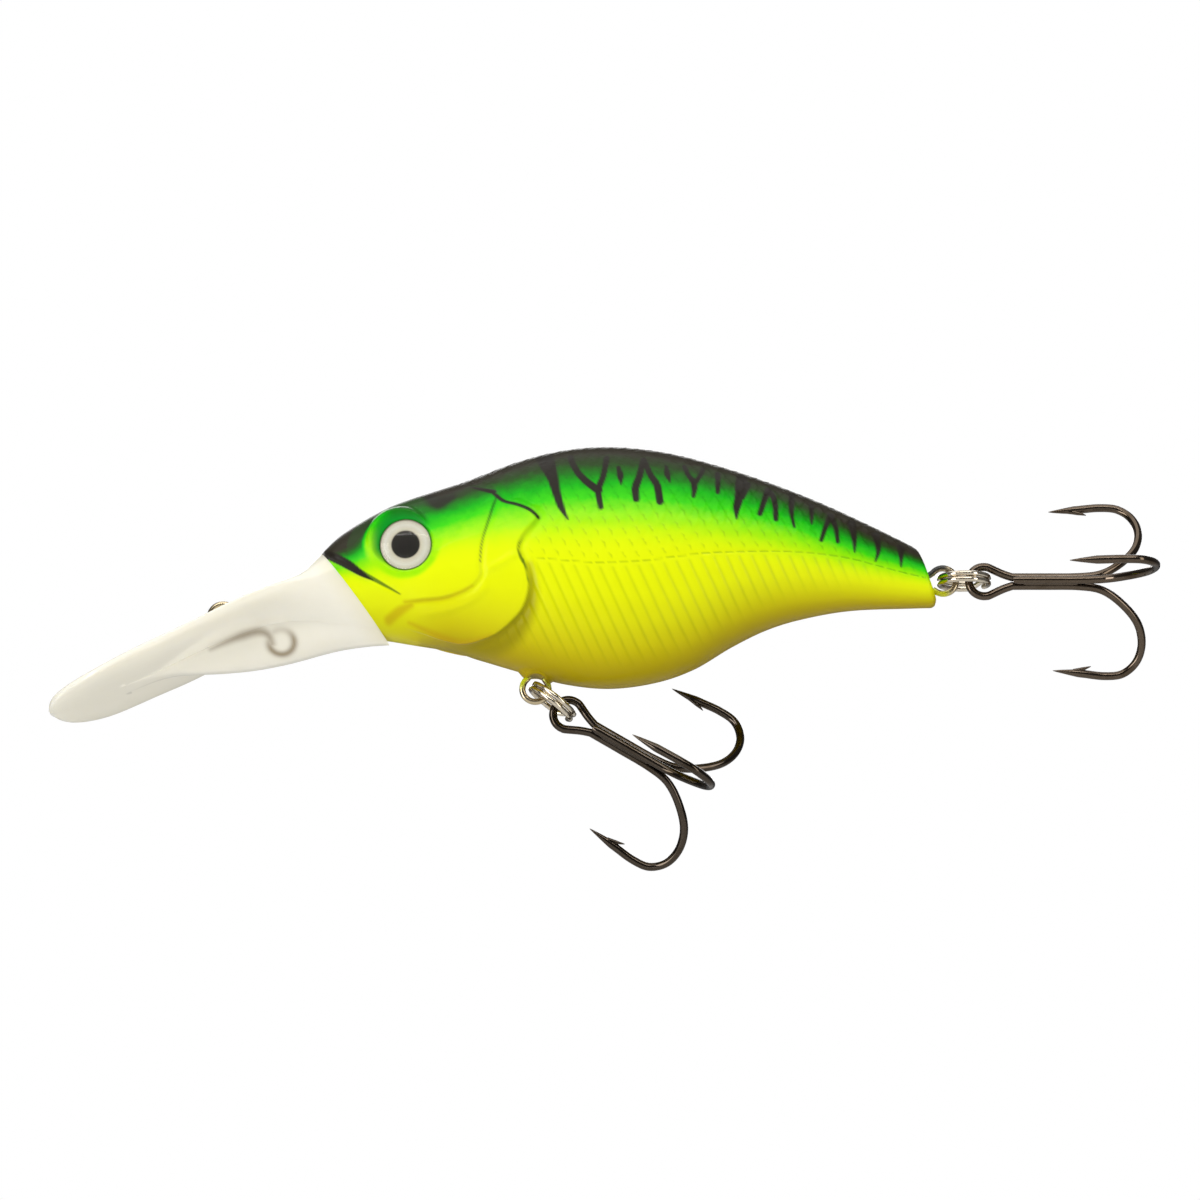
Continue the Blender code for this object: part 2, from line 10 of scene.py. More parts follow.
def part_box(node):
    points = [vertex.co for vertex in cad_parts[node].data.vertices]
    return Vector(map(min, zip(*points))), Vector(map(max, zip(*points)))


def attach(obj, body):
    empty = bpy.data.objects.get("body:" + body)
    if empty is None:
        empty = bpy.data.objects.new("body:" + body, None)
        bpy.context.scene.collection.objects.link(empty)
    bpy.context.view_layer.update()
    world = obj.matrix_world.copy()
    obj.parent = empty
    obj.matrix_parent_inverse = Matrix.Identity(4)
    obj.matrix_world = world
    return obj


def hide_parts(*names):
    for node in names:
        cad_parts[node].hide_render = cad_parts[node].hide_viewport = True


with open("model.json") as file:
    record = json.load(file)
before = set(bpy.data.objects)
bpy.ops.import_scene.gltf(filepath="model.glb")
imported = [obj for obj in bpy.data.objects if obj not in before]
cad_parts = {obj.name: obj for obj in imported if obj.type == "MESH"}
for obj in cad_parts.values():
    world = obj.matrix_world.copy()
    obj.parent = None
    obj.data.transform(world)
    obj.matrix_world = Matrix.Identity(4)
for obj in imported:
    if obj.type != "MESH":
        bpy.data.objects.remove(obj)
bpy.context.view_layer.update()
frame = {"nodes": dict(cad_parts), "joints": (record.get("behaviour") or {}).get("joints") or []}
mm = 0.001
jointAt = {joint["name"]: Vector(joint.get("pos_m", (0, 0, 0))) / mm for joint in frame["joints"]}
print("frame loaded:", len(frame["nodes"]), "nodes")


# Studio: the camera looks slightly up at the left flank

studio = {
    "aim": (45.2, 0.0, 2.1),
    "away": 400.0,
    "below": 12.0,  # degrees
    "lens": 100.0,
    "filmWide": 36.0,
    "nearest": 0.01,  # metres
    "lamps": [  # place, size across and up, watts, colour
        ("keyLamp", (-60, -460, 700), (1000, 800), 3.7, (1.0, 0.99, 0.96)),
        ("glintLamp", (60, -330, 230), (420, 24), 0.3, (1.0, 0.98, 0.94)),
        ("topLamp", (60, 60, 520), (520, 300), 0.6, (1.0, 1.0, 1.0)),
        ("sideLamp", (420, -330, 60), (120, 420), 0.6, (1.0, 0.97, 0.92)),
        ("noseLamp", (-330, -330, -20), (160, 380), 1.25, (1.0, 1.0, 1.0)),
        ("backLamp", (80, 520, 220), (420, 260), 1.0, (1.0, 1.0, 1.0)),
    ],
    "skyLow": (-0.5, 0.06),  # height and brightness
    "skyHigh": (0.8, 0.22),
    "backdrop": 1.0,
    "floorHeight": -200.0,
    "floorWide": 5000.0,
    "floorColour": (0.86, 0.86, 0.85, 1.0),
    "floorGlow": (0.9, 0.9, 0.89, 1.0),
    "floorGlowShare": 0.78,
    "floorGrain": 60.0,
}


def addToScene(name, data):
    obj = bpy.data.objects.new(name, data)
    bpy.context.scene.collection.objects.link(obj)
    return obj


def buildStudio():
    bpy.context.scene.view_settings.view_transform = "Standard"
    aim = Vector(studio["aim"]) * mm
    tilt = math.radians(studio["below"])
    camera = addToScene("camera", bpy.data.cameras.new("camera"))
    camera.data.lens = studio["lens"]
    camera.data.sensor_width = studio["filmWide"]
    camera.data.clip_start = studio["nearest"]
    camera.location = aim - Vector((0, math.cos(tilt), math.sin(tilt))) * studio["away"] * mm
    camera.rotation_euler = (math.pi / 2 + tilt, 0, 0)
    bpy.context.scene.camera = camera
    for name, place, size, watts, colour in studio["lamps"]:
        lamp = addToScene(name, bpy.data.lights.new(name, "AREA"))
        lamp.data.shape = "RECTANGLE"
        lamp.data.size, lamp.data.size_y = size[0] * mm, size[1] * mm
        lamp.data.energy = watts
        lamp.data.color = colour
        lamp.location = Vector(place) * mm
        lamp.rotation_euler = (aim - lamp.location).to_track_quat("-Z", "Y").to_euler()
    buildFloor()
    buildSky()
    print("studio ready")


def buildFloor():
    bm = bmesh.new()
    bmesh.ops.create_grid(bm, x_segments=8, y_segments=8, size=studio["floorWide"] / 2)
    bmesh.ops.translate(bm, vec=(0, 0, studio["floorHeight"]), verts=bm.verts)
    floor = addToScene("floor", meshFrom("floor", bm))
    tree, shader = newMaterial("paleFloor", {"Base Color": studio["floorColour"], "Roughness": 0.9})
    grain = addNode(tree, "ShaderNodeTexNoise", {"Scale": studio["floorGrain"], "Detail": 3.0})
    addBump(tree, shader, grain.outputs["Fac"], 0.05, 0.001)
    glow = addNode(tree, "ShaderNodeEmission", {"Color": studio["floorGlow"]})  # only the camera sees it
    ray = tree.nodes.new("ShaderNodeLightPath")
    mix = tree.nodes.new("ShaderNodeMixShader")
    share = addMath(tree, "MULTIPLY", ray.outputs["Is Camera Ray"], studio["floorGlowShare"])
    for source, socket in ((share, 0), (shader.outputs[0], 1), (glow.outputs[0], 2)):
        tree.links.new(source, mix.inputs[socket])
    tree.links.new(mix.outputs[0], tree.nodes["Material Output"].inputs["Surface"])
    floor.data.materials.append(bpy.data.materials["paleFloor"])


def buildSky():  # a white backdrop, and a softer grey room for light and reflections
    world = bpy.data.worlds.new("studioRoom")
    world.use_nodes = True
    bpy.context.scene.world = world
    tree = world.node_tree
    tree.nodes.clear()
    place = tree.nodes.new("ShaderNodeTexCoord")
    height = tree.nodes.new("ShaderNodeSeparateXYZ")
    (low, dim), (high, bright) = studio["skyLow"], studio["skyHigh"]
    spread = addNode(tree, "ShaderNodeMapRange", {
        "From Min": low, "From Max": high, "To Min": dim, "To Max": bright,
    })
    room = tree.nodes.new("ShaderNodeBackground")
    white = addNode(tree, "ShaderNodeBackground", {
        "Strength": studio["backdrop"], "Color": (1, 1, 1, 1),
    })
    ray = tree.nodes.new("ShaderNodeLightPath")
    mix = tree.nodes.new("ShaderNodeMixShader")
    out = tree.nodes.new("ShaderNodeOutputWorld")
    tree.links.new(place.outputs["Generated"], height.inputs[0])
    tree.links.new(height.outputs["Z"], spread.inputs["Value"])
    tree.links.new(spread.outputs["Result"], room.inputs["Strength"])
    tree.links.new(ray.outputs["Is Camera Ray"], mix.inputs[0])
    tree.links.new(room.outputs[0], mix.inputs[1])
    tree.links.new(white.outputs[0], mix.inputs[2])
    tree.links.new(mix.outputs[0], out.inputs["Surface"])


# Materials: colours are written as screen values from 0 to 255

def paint(red, green, blue):
    linear = []
    for value in (red, green, blue):
        share = value / 255
        linear.append(share / 12.92 if share <= 0.04045 else ((share + 0.055) / 1.055) ** 2.4)
    return (*linear, 1.0)


def newMaterial(name, sockets):
    material = bpy.data.materials.new(name)
    material.use_nodes = True
    tree = material.node_tree
    shader = tree.nodes["Principled BSDF"]
    for socket, value in sockets.items():
        shader.inputs[socket].default_value = value
    return tree, shader


def addNode(tree, kind, values=None):
    node = tree.nodes.new(kind)
    for socket, value in (values or {}).items():
        node.inputs[socket].default_value = value
    return node


def addMath(tree, operation, first, second=None, clamp=False):
    node = tree.nodes.new("ShaderNodeMath")
    node.operation = operation
    node.use_clamp = clamp
    for socket, value in zip(node.inputs, (first, second)):
        if isinstance(value, float):
            socket.default_value = value
        elif value is not None:
            tree.links.new(value, socket)
    return node.outputs[0]


def addMix(tree, factor, first, second, blend="MIX"):
    node = tree.nodes.new("ShaderNodeMix")
    node.data_type = "RGBA"
    node.blend_type = blend
    for socket, value in zip((node.inputs[0], node.inputs[6], node.inputs[7]), (factor, first, second)):
        if isinstance(value, (float, tuple)):
            socket.default_value = value
        else:
            tree.links.new(value, socket)
    return node.outputs[2]


def addBump(tree, shader, height, strength, distance):
    bump = addNode(tree, "ShaderNodeBump", {"Strength": strength, "Distance": distance})
    tree.links.new(height, bump.inputs["Height"])
    tree.links.new(bump.outputs["Normal"], shader.inputs["Normal"])


def addRamp(tree, factor, stops):
    node = tree.nodes.new("ShaderNodeValToRGB")
    ramp = node.color_ramp
    ramp.elements[0].position, ramp.elements[1].position = stops[0][0], stops[-1][0]
    ramp.elements[0].color, ramp.elements[1].color = paint(*stops[0][1]), paint(*stops[-1][1])
    for position, colour in stops[1:-1]:
        ramp.elements.new(position).color = paint(*colour)
    tree.links.new(factor, node.inputs[0])
    return node.outputs[0]


def readMask(tree, name):
    node = tree.nodes.new("ShaderNodeAttribute")
    node.attribute_name = name
    return node.outputs["Fac"]


def placeGroup(tree, group, values):
    node = tree.nodes.new("ShaderNodeGroup")
    node.node_tree = group
    for socket, value in values.items():
        node.inputs[socket].default_value = value
    return node


def newGroup(name, inputs, outputs):
    group = bpy.data.node_groups.new(name, "ShaderNodeTree")
    for label, value in inputs:
        socket = group.interface.new_socket(label, in_out="INPUT", socket_type="NodeSocketFloat")
        socket.default_value = value
    for label in outputs:
        group.interface.new_socket(label, in_out="OUTPUT", socket_type="NodeSocketFloat")
    return group, group.nodes.new("NodeGroupInput"), group.nodes.new("NodeGroupOutput")


def buildSpeckleGroup():  # fine mottle and a pebbled height, for sprayed and moulded surfaces
    group, given, out = newGroup(
        "speckle", (("Mottle Size", 400.0), ("Pebble Size", 3000.0), ("Amount", 0.1)),
        ("Mottle", "Pebble"))
    place = group.nodes.new("ShaderNodeTexCoord")
    for name in ("Mottle", "Pebble"):
        noise = addNode(group, "ShaderNodeTexNoise", {"Detail": 3.0, "Roughness": 0.55})
        group.links.new(place.outputs["Object"], noise.inputs["Vector"])
        group.links.new(given.outputs[name + " Size"], noise.inputs["Scale"])
        centred = addMath(group, "SUBTRACT", noise.outputs["Fac"], 0.5)
        scaled = addMath(group, "MULTIPLY", centred, given.outputs["Amount"])
        group.links.new(addMath(group, "ADD", scaled, 0.5), out.inputs[name])
    return group


def buildWireGroup():  # drawing marks along a bright wire, with dull spots where it has been handled
    group, given, out = newGroup(
        "drawnWire", (("Mark Size", 2500.0), ("Dullness", 0.1), ("Shine", 0.1)),
        ("Roughness", "Height", "Tarnish"))
    place = group.nodes.new("ShaderNodeTexCoord")
    marks = addNode(group, "ShaderNodeTexNoise", {"Detail": 4.0})
    group.links.new(place.outputs["Object"], marks.inputs["Vector"])
    group.links.new(given.outputs["Mark Size"], marks.inputs["Scale"])
    group.links.new(marks.outputs["Fac"], out.inputs["Height"])
    spots = addNode(group, "ShaderNodeTexNoise", {"Scale": 350.0, "Detail": 2.0})
    group.links.new(place.outputs["Object"], spots.inputs["Vector"])
    dull = addMath(group, "MULTIPLY", spots.outputs["Fac"], given.outputs["Dullness"])
    group.links.new(addMath(group, "ADD", dull, given.outputs["Shine"]), out.inputs["Roughness"])
    spread = addNode(group, "ShaderNodeMapRange", {"From Min": 0.5, "From Max": 0.75})
    group.links.new(spots.outputs["Fac"], spread.inputs["Value"])
    group.links.new(spread.outputs["Result"], out.inputs["Tarnish"])
    return group


speckleGroup = buildSpeckleGroup()
wireGroup = buildWireGroup()

paintJob = {
    "shoulder": [  # from the lime edge of the flank up into the dark back
        (0.0, (222, 238, 6)), (0.12, (214, 240, 6)), (0.22, (192, 238, 6)), (0.33, (142, 228, 2)),
        (0.43, (58, 208, 2)), (0.52, (12, 174, 8)), (0.59, (20, 118, 14)), (0.66, (38, 66, 22)),
        (0.74, (46, 42, 30)), (1.0, (50, 46, 36)),
    ],
    "flank": [  # from the lime edge down to the belly seam, darker towards the belly: partly ochre paint, partly painted shade of the underside
        (0.0, (222, 238, 6)), (0.3, (226, 239, 6)), (0.5, (224, 232, 4)), (0.68, (214, 214, 2)),
        (0.82, (202, 192, 2)), (0.92, (184, 166, 2)), (1.0, (166, 144, 2)),
    ],
    "hanger": [  # overspray on the hangers, from the belly to the back
        (0.0, (206, 208, 10)), (0.3, (150, 200, 10)), (0.5, (20, 140, 30)), (0.75, (26, 60, 26)),
        (1.0, (30, 30, 24)),
    ],
    "black": (38, 34, 28),
    "green": (30, 92, 22),
    "socket": (8, 150, 40),
    # painted shade: the darker green laid in the eye socket's recess on its upper side
    "amber": (188, 152, 0),
    # painted shade behind the raised edge of the gill cover
    "olive": (140, 128, 0),
    # painted shade, multiplied in under the scale edges, in the rib grooves and in the dashed lateral line
    "dash": (206, 218, 150),
}


def buildPaintMaterial():
    tree, shader = newMaterial("paintedBody", {
        "Specular IOR Level": 0.1, "Coat Weight": 0.04, "Coat Roughness": 0.16,
    })
    grain = placeGroup(tree, speckleGroup, {"Mottle Size": 900.0, "Pebble Size": 5200.0, "Amount": 0.5})
    shift = addMath(tree, "MULTIPLY", addMath(tree, "SUBTRACT", grain.outputs["Mottle"], 0.5), 0.16)
    spray = addMath(tree, "ADD", readMask(tree, "spray"), shift, clamp=True)
    shoulder = addRamp(tree, spray, paintJob["shoulder"])
    # the flank ramp darkens towards the belly, partly ochre paint and partly painted shade
    flank = addRamp(tree, readMask(tree, "flank"), paintJob["flank"])
    colour = addMix(tree, readMask(tree, "above"), flank, shoulder)
    # the socket and behind-the-gill masks mix in painted shade; green and amber are paint
    for mask in ("socket", "amber", "olive", "green"):
        colour = addMix(tree, readMask(tree, mask), colour, paint(*paintJob[mask]))
    # painted shade multiplied in under the scale edges and in the grooves
    colour = addMix(tree, readMask(tree, "dash"), colour, paint(*paintJob["dash"]), "MULTIPLY")
    colour = addMix(tree, readMask(tree, "black"), colour, paint(*paintJob["black"]))
    tree.links.new(colour, shader.inputs["Base Color"])
    rough = addMath(tree, "ADD", 0.17, addMath(tree, "MULTIPLY", grain.outputs["Mottle"], 0.34))
    tree.links.new(rough, shader.inputs["Roughness"])
    addBump(tree, shader, grain.outputs["Pebble"], 0.12, 0.00004)
    return bpy.data.materials["paintedBody"]


def buildLipMaterial():
    tree, shader = newMaterial("milkyLip", {
        "Roughness": 0.2, "IOR": 1.49, "Subsurface Weight": 0.55, "Subsurface Scale": 0.0035,
        "Subsurface Radius": (1.0, 0.92, 0.7), "Specular IOR Level": 0.3, "Coat Weight": 0.15,
        "Coat Roughness": 0.08, "Emission Strength": 0.30,
    })
    grain = placeGroup(tree, speckleGroup, {"Mottle Size": 160.0, "Pebble Size": 1400.0, "Amount": 0.6})
    cloudy = addRamp(tree, grain.outputs["Mottle"], [(0.3, (206, 203, 190)), (0.7, (212, 209, 198))])
    colour = addMix(tree, readMask(tree, "root"), cloudy, paint(202, 195, 168))
    colour = addMix(tree, readMask(tree, "thin"), colour, paint(204, 200, 188))
    # painted shadow of the moulded-in wire seen through the milky plastic
    colour = addMix(tree, readMask(tree, "wireShade"), colour, paint(136, 124, 104))
    tree.links.new(colour, shader.inputs["Base Color"])
    # painted light: the lip glows faintly (the emission strength above), as if lit through the milky
    # plastic, and less where the wire's painted shadow lies
    glow = addMix(tree, readMask(tree, "wireShade"), paint(240, 236, 222), paint(170, 156, 132))
    tree.links.new(glow, shader.inputs["Emission Color"])
    addBump(tree, shader, grain.outputs["Pebble"], 0.1, 0.00006)
    return bpy.data.materials["milkyLip"]


metals = {  # bright colour, tarnished colour, shine, dullness
    "nickelRing": ((212, 202, 184), (168, 146, 112), 0.05, 0.08),
    "blackNickel": ((76, 68, 60), (62, 53, 42), 0.04, 0.08),
    "tailNickel": ((94, 83, 72), (74, 62, 48), 0.05, 0.09),
    "bareWire": ((200, 184, 152), (138, 112, 76), 0.06, 0.14),
    "ballSteel": ((190, 190, 192), (150, 150, 154), 0.05, 0.12),
    "castWeight": ((120, 122, 126), (86, 86, 88), 0.38, 0.3),
}


def addDrawnWire(tree, name):  # the group with one metal's values, and its colour
    bright, tarnished, shine, dullness = metals[name]
    wire = placeGroup(tree, wireGroup, {"Mark Size": 2600.0, "Dullness": dullness, "Shine": shine})
    return wire, addMix(tree, wire.outputs["Tarnish"], paint(*bright), paint(*tarnished))


def buildMetal(name):
    tree, shader = newMaterial(name, {"Metallic": 1.0})
    wire, colour = addDrawnWire(tree, name)
    tree.links.new(colour, shader.inputs["Base Color"])
    tree.links.new(wire.outputs["Roughness"], shader.inputs["Roughness"])
    addBump(tree, shader, wire.outputs["Height"], 0.03, 0.00001)
    return bpy.data.materials[name]


def buildSprayedWire(name):  # hanger wire with the body's paint on it, worn off where the ring rubs
    tree, shader = newMaterial(name, {})
    wire, metal = addDrawnWire(tree, "bareWire")
    sprayed = addRamp(tree, readMask(tree, "spray"), paintJob["hanger"])
    painted = readMask(tree, "painted")
    tree.links.new(addMix(tree, painted, metal, sprayed), shader.inputs["Base Color"])
    tree.links.new(addMath(tree, "SUBTRACT", 1.0, painted), shader.inputs["Metallic"])
    rough = addMath(tree, "ADD", wire.outputs["Roughness"], addMath(tree, "MULTIPLY", painted, 0.15))
    tree.links.new(rough, shader.inputs["Roughness"])
    return bpy.data.materials[name]


# Form: the same lines as the body and the lip in the frame, in millimetres

form = {
    "back": [
        (-20.2, -11.6), (-19.4, -10.95), (-17.5, -10.0), (-14.0, -8.4), (-10.0, -6.4), (-6.0, -4.45),
        (-2.0, -2.45), (2.0, -0.15), (6.0, 2.4), (10.0, 5.0), (11.75, 7.1), (13.9, 9.5), (17.5, 12.0),
        (21.0, 13.8), (28.3, 16.2), (35.5, 19.0), (41.0, 20.4), (46.4, 20.8), (52.0, 20.3),
        (57.3, 19.1), (64.5, 16.8), (71.8, 13.9), (79.0, 10.5), (82.5, 8.7), (87.0, 6.2),
    ],
    "belly": [
        (-20.2, -11.9), (-19.4, -11.9), (-17.5, -11.4), (-14.0, -10.0), (-10.0, -8.2), (-6.0, -6.5),
        (-2.0, -4.7), (2.0, -3.1), (6.0, -1.9), (10.0, -1.8), (14.0, -2.3), (18.0, -2.6),
        (21.0, -3.0), (28.3, -4.5), (35.5, -6.6), (41.0, -8.1), (46.4, -8.65), (52.0, -7.9),
        (56.5, -6.3), (61.0, -3.6), (65.0, -1.6), (69.0, -0.3), (75.0, 0.8), (82.5, 1.1), (87.0, 1.2),
    ],
    "widest": [
        (-20.2, -11.75), (-18.4, -11.2), (-15.0, -9.85), (-12.0, -8.3), (-8.3, -6.35), (-5.0, -4.75),
        (-2.0, -3.1), (1.8, -0.9), (5.2, 0.95), (8.5, 2.2), (12.0, 3.0), (16.0, 3.9), (20.0, 4.75),
        (28.0, 6.2), (46.0, 6.4), (60.0, 7.2), (72.0, 7.0), (87.0, 3.8),
    ],
    "halfWidth": [
        (-20.2, 0.9), (-19.8, 4.0), (-18.8, 7.3), (-17.0, 9.9), (-14.5, 11.7), (-11.0, 12.5),
        (-6.0, 12.7), (-2.0, 12.3), (2.0, 11.4), (6.0, 10.0), (9.0, 8.8), (12.0, 7.8), (16.0, 7.3),
        (22.0, 7.4), (30.0, 8.1), (40.0, 8.5), (50.0, 8.4), (58.0, 7.6), (66.0, 6.2), (74.0, 4.7),
        (82.0, 3.1), (87.0, 2.4),
    ],
    "nose": (11.75, 7.14),
    "chin": (19.8, -3.15),  # the head is parted from the lip on the line from the nose to here
    "tailTop": (84.05, 6.8),
    "tailFoot": (85.28, 2.1),
}


def readLine(points, x):  # a smooth line through (x, value) points
    at = np.array([p[0] for p in points])
    value = np.array([p[1] for p in points])
    x = np.clip(x, at[0], at[-1])
    i = np.clip(np.searchsorted(at, x, side="right") - 1, 0, len(at) - 2)
    before, after = np.maximum(i - 1, 0), np.minimum(i + 2, len(at) - 1)
    span = at[i + 1] - at[i]
    start = (value[i + 1] - value[before]) / (at[i + 1] - at[before]) * span
    end = (value[after] - value[i]) / (at[after] - at[i]) * span
    t = (x - at[i]) / span
    return (
        (2 * t**3 - 3 * t**2 + 1) * value[i] + (t**3 - 2 * t**2 + t) * start
        + (3 * t**2 - 2 * t**3) * value[i + 1] + (t**3 - t**2) * end
    )


def formPower(x):  # the sections of the lip have fuller edges than those of the body
    return 2.1 + 1.5 * np.clip((8.0 - x) / 8.0, 0, 1)


def formPoint(x, turn, inset=0.0):  # y and z on the form, turn going from the back at 90 degrees
    power = formPower(x)
    across, up = np.cos(turn), np.sin(turn)
    wide = readLine(form["halfWidth"], x) - inset
    widest = readLine(form["widest"], x)
    top = readLine(form["back"], x) - inset
    bottom = readLine(form["belly"], x) + inset
    y = wide * np.sign(across) * np.abs(across) ** (2 / power)
    rise = np.sign(up) * np.abs(up) ** (2 / power)
    return y, widest + rise * np.where(up > 0, top - widest, widest - bottom)


def planeAt(height, top, foot):  # x on a slanted joint face
    return top[0] + (height - top[1]) * (foot[0] - top[0]) / (foot[1] - top[1])


def meetPlane(heightAt, count, top, foot, low, high):  # x where a form crosses a slanted joint face
    low, high = np.full(count, low), np.full(count, high)
    for step in range(40):
        middle = (low + high) / 2
        past = middle > planeAt(heightAt(middle), top, foot)
        low, high = np.where(past, low, middle), np.where(past, middle, high)
    return (low + high) / 2


def ease(value):  # smooth step from 0 to 1
    t = np.clip(value, 0, 1)
    return t * t * (3 - 2 * t)


def hump(gap, wide):  # a soft ridge along a line
    return np.exp(-(gap / wide) ** 2)


def softMax(a, b, blend):  # the larger of two heights, rounded where they cross
    share = np.clip(0.5 + 0.5 * (a - b) / np.maximum(blend, 1e-6), 0, 1)
    return b + (a - b) * share + blend * share * (1 - share)


def softPath(points, steps):  # more points along a smooth curve through the given ones
    points = [Vector(p) for p in points]
    path = []
    for k in range(len(points) - 1):
        before, a = points[max(k - 1, 0)], points[k]
        b, after = points[k + 1], points[min(k + 2, len(points) - 1)]
        for s in range(steps):
            t = s / steps
            path.append(0.5 * (
                2 * a + (b - before) * t + (2 * before - 5 * a + 4 * b - after) * t**2
                + (3 * a - before - 3 * b + after) * t**3
            ))
    return path + [points[-1]]


def toLine(x, z, points):  # distance to a line, how far along it, and on which side: + is left of it
    points = [(p[0], p[1]) for p in softPath([(*p, 0) for p in points], 4)]
    steps = [math.dist(a, b) for a, b in zip(points, points[1:])]
    best, along, side = np.full(x.shape, 1e9), np.zeros(x.shape), np.ones(x.shape)
    gone = 0.0
    for (ax, az), (bx, bz), step in zip(points, points[1:], steps):
        dx, dz = (bx - ax) / step, (bz - az) / step
        t = np.clip((x - ax) * dx + (z - az) * dz, 0, step)
        gapX, gapZ = x - ax - t * dx, z - az - t * dz
        gap = np.hypot(gapX, gapZ)
        near = gap < best
        best = np.where(near, gap, best)
        along = np.where(near, (gone + t) / sum(steps), along)
        side = np.where(near, np.sign(dx * (z - az) - dz * (x - ax)), side)
        gone += step
    return best, along, side


def stroke(x, z, points, widths, soft):  # a brush stroke, with its half widths from start to end
    gap, along, side = toLine(x, z, points)
    wide = np.interp(along, np.linspace(0, 1, len(widths)), widths)
    return ease((wide - gap) / soft + 0.5)


# Markings, as (x, z) on the flank in millimetres, with half widths

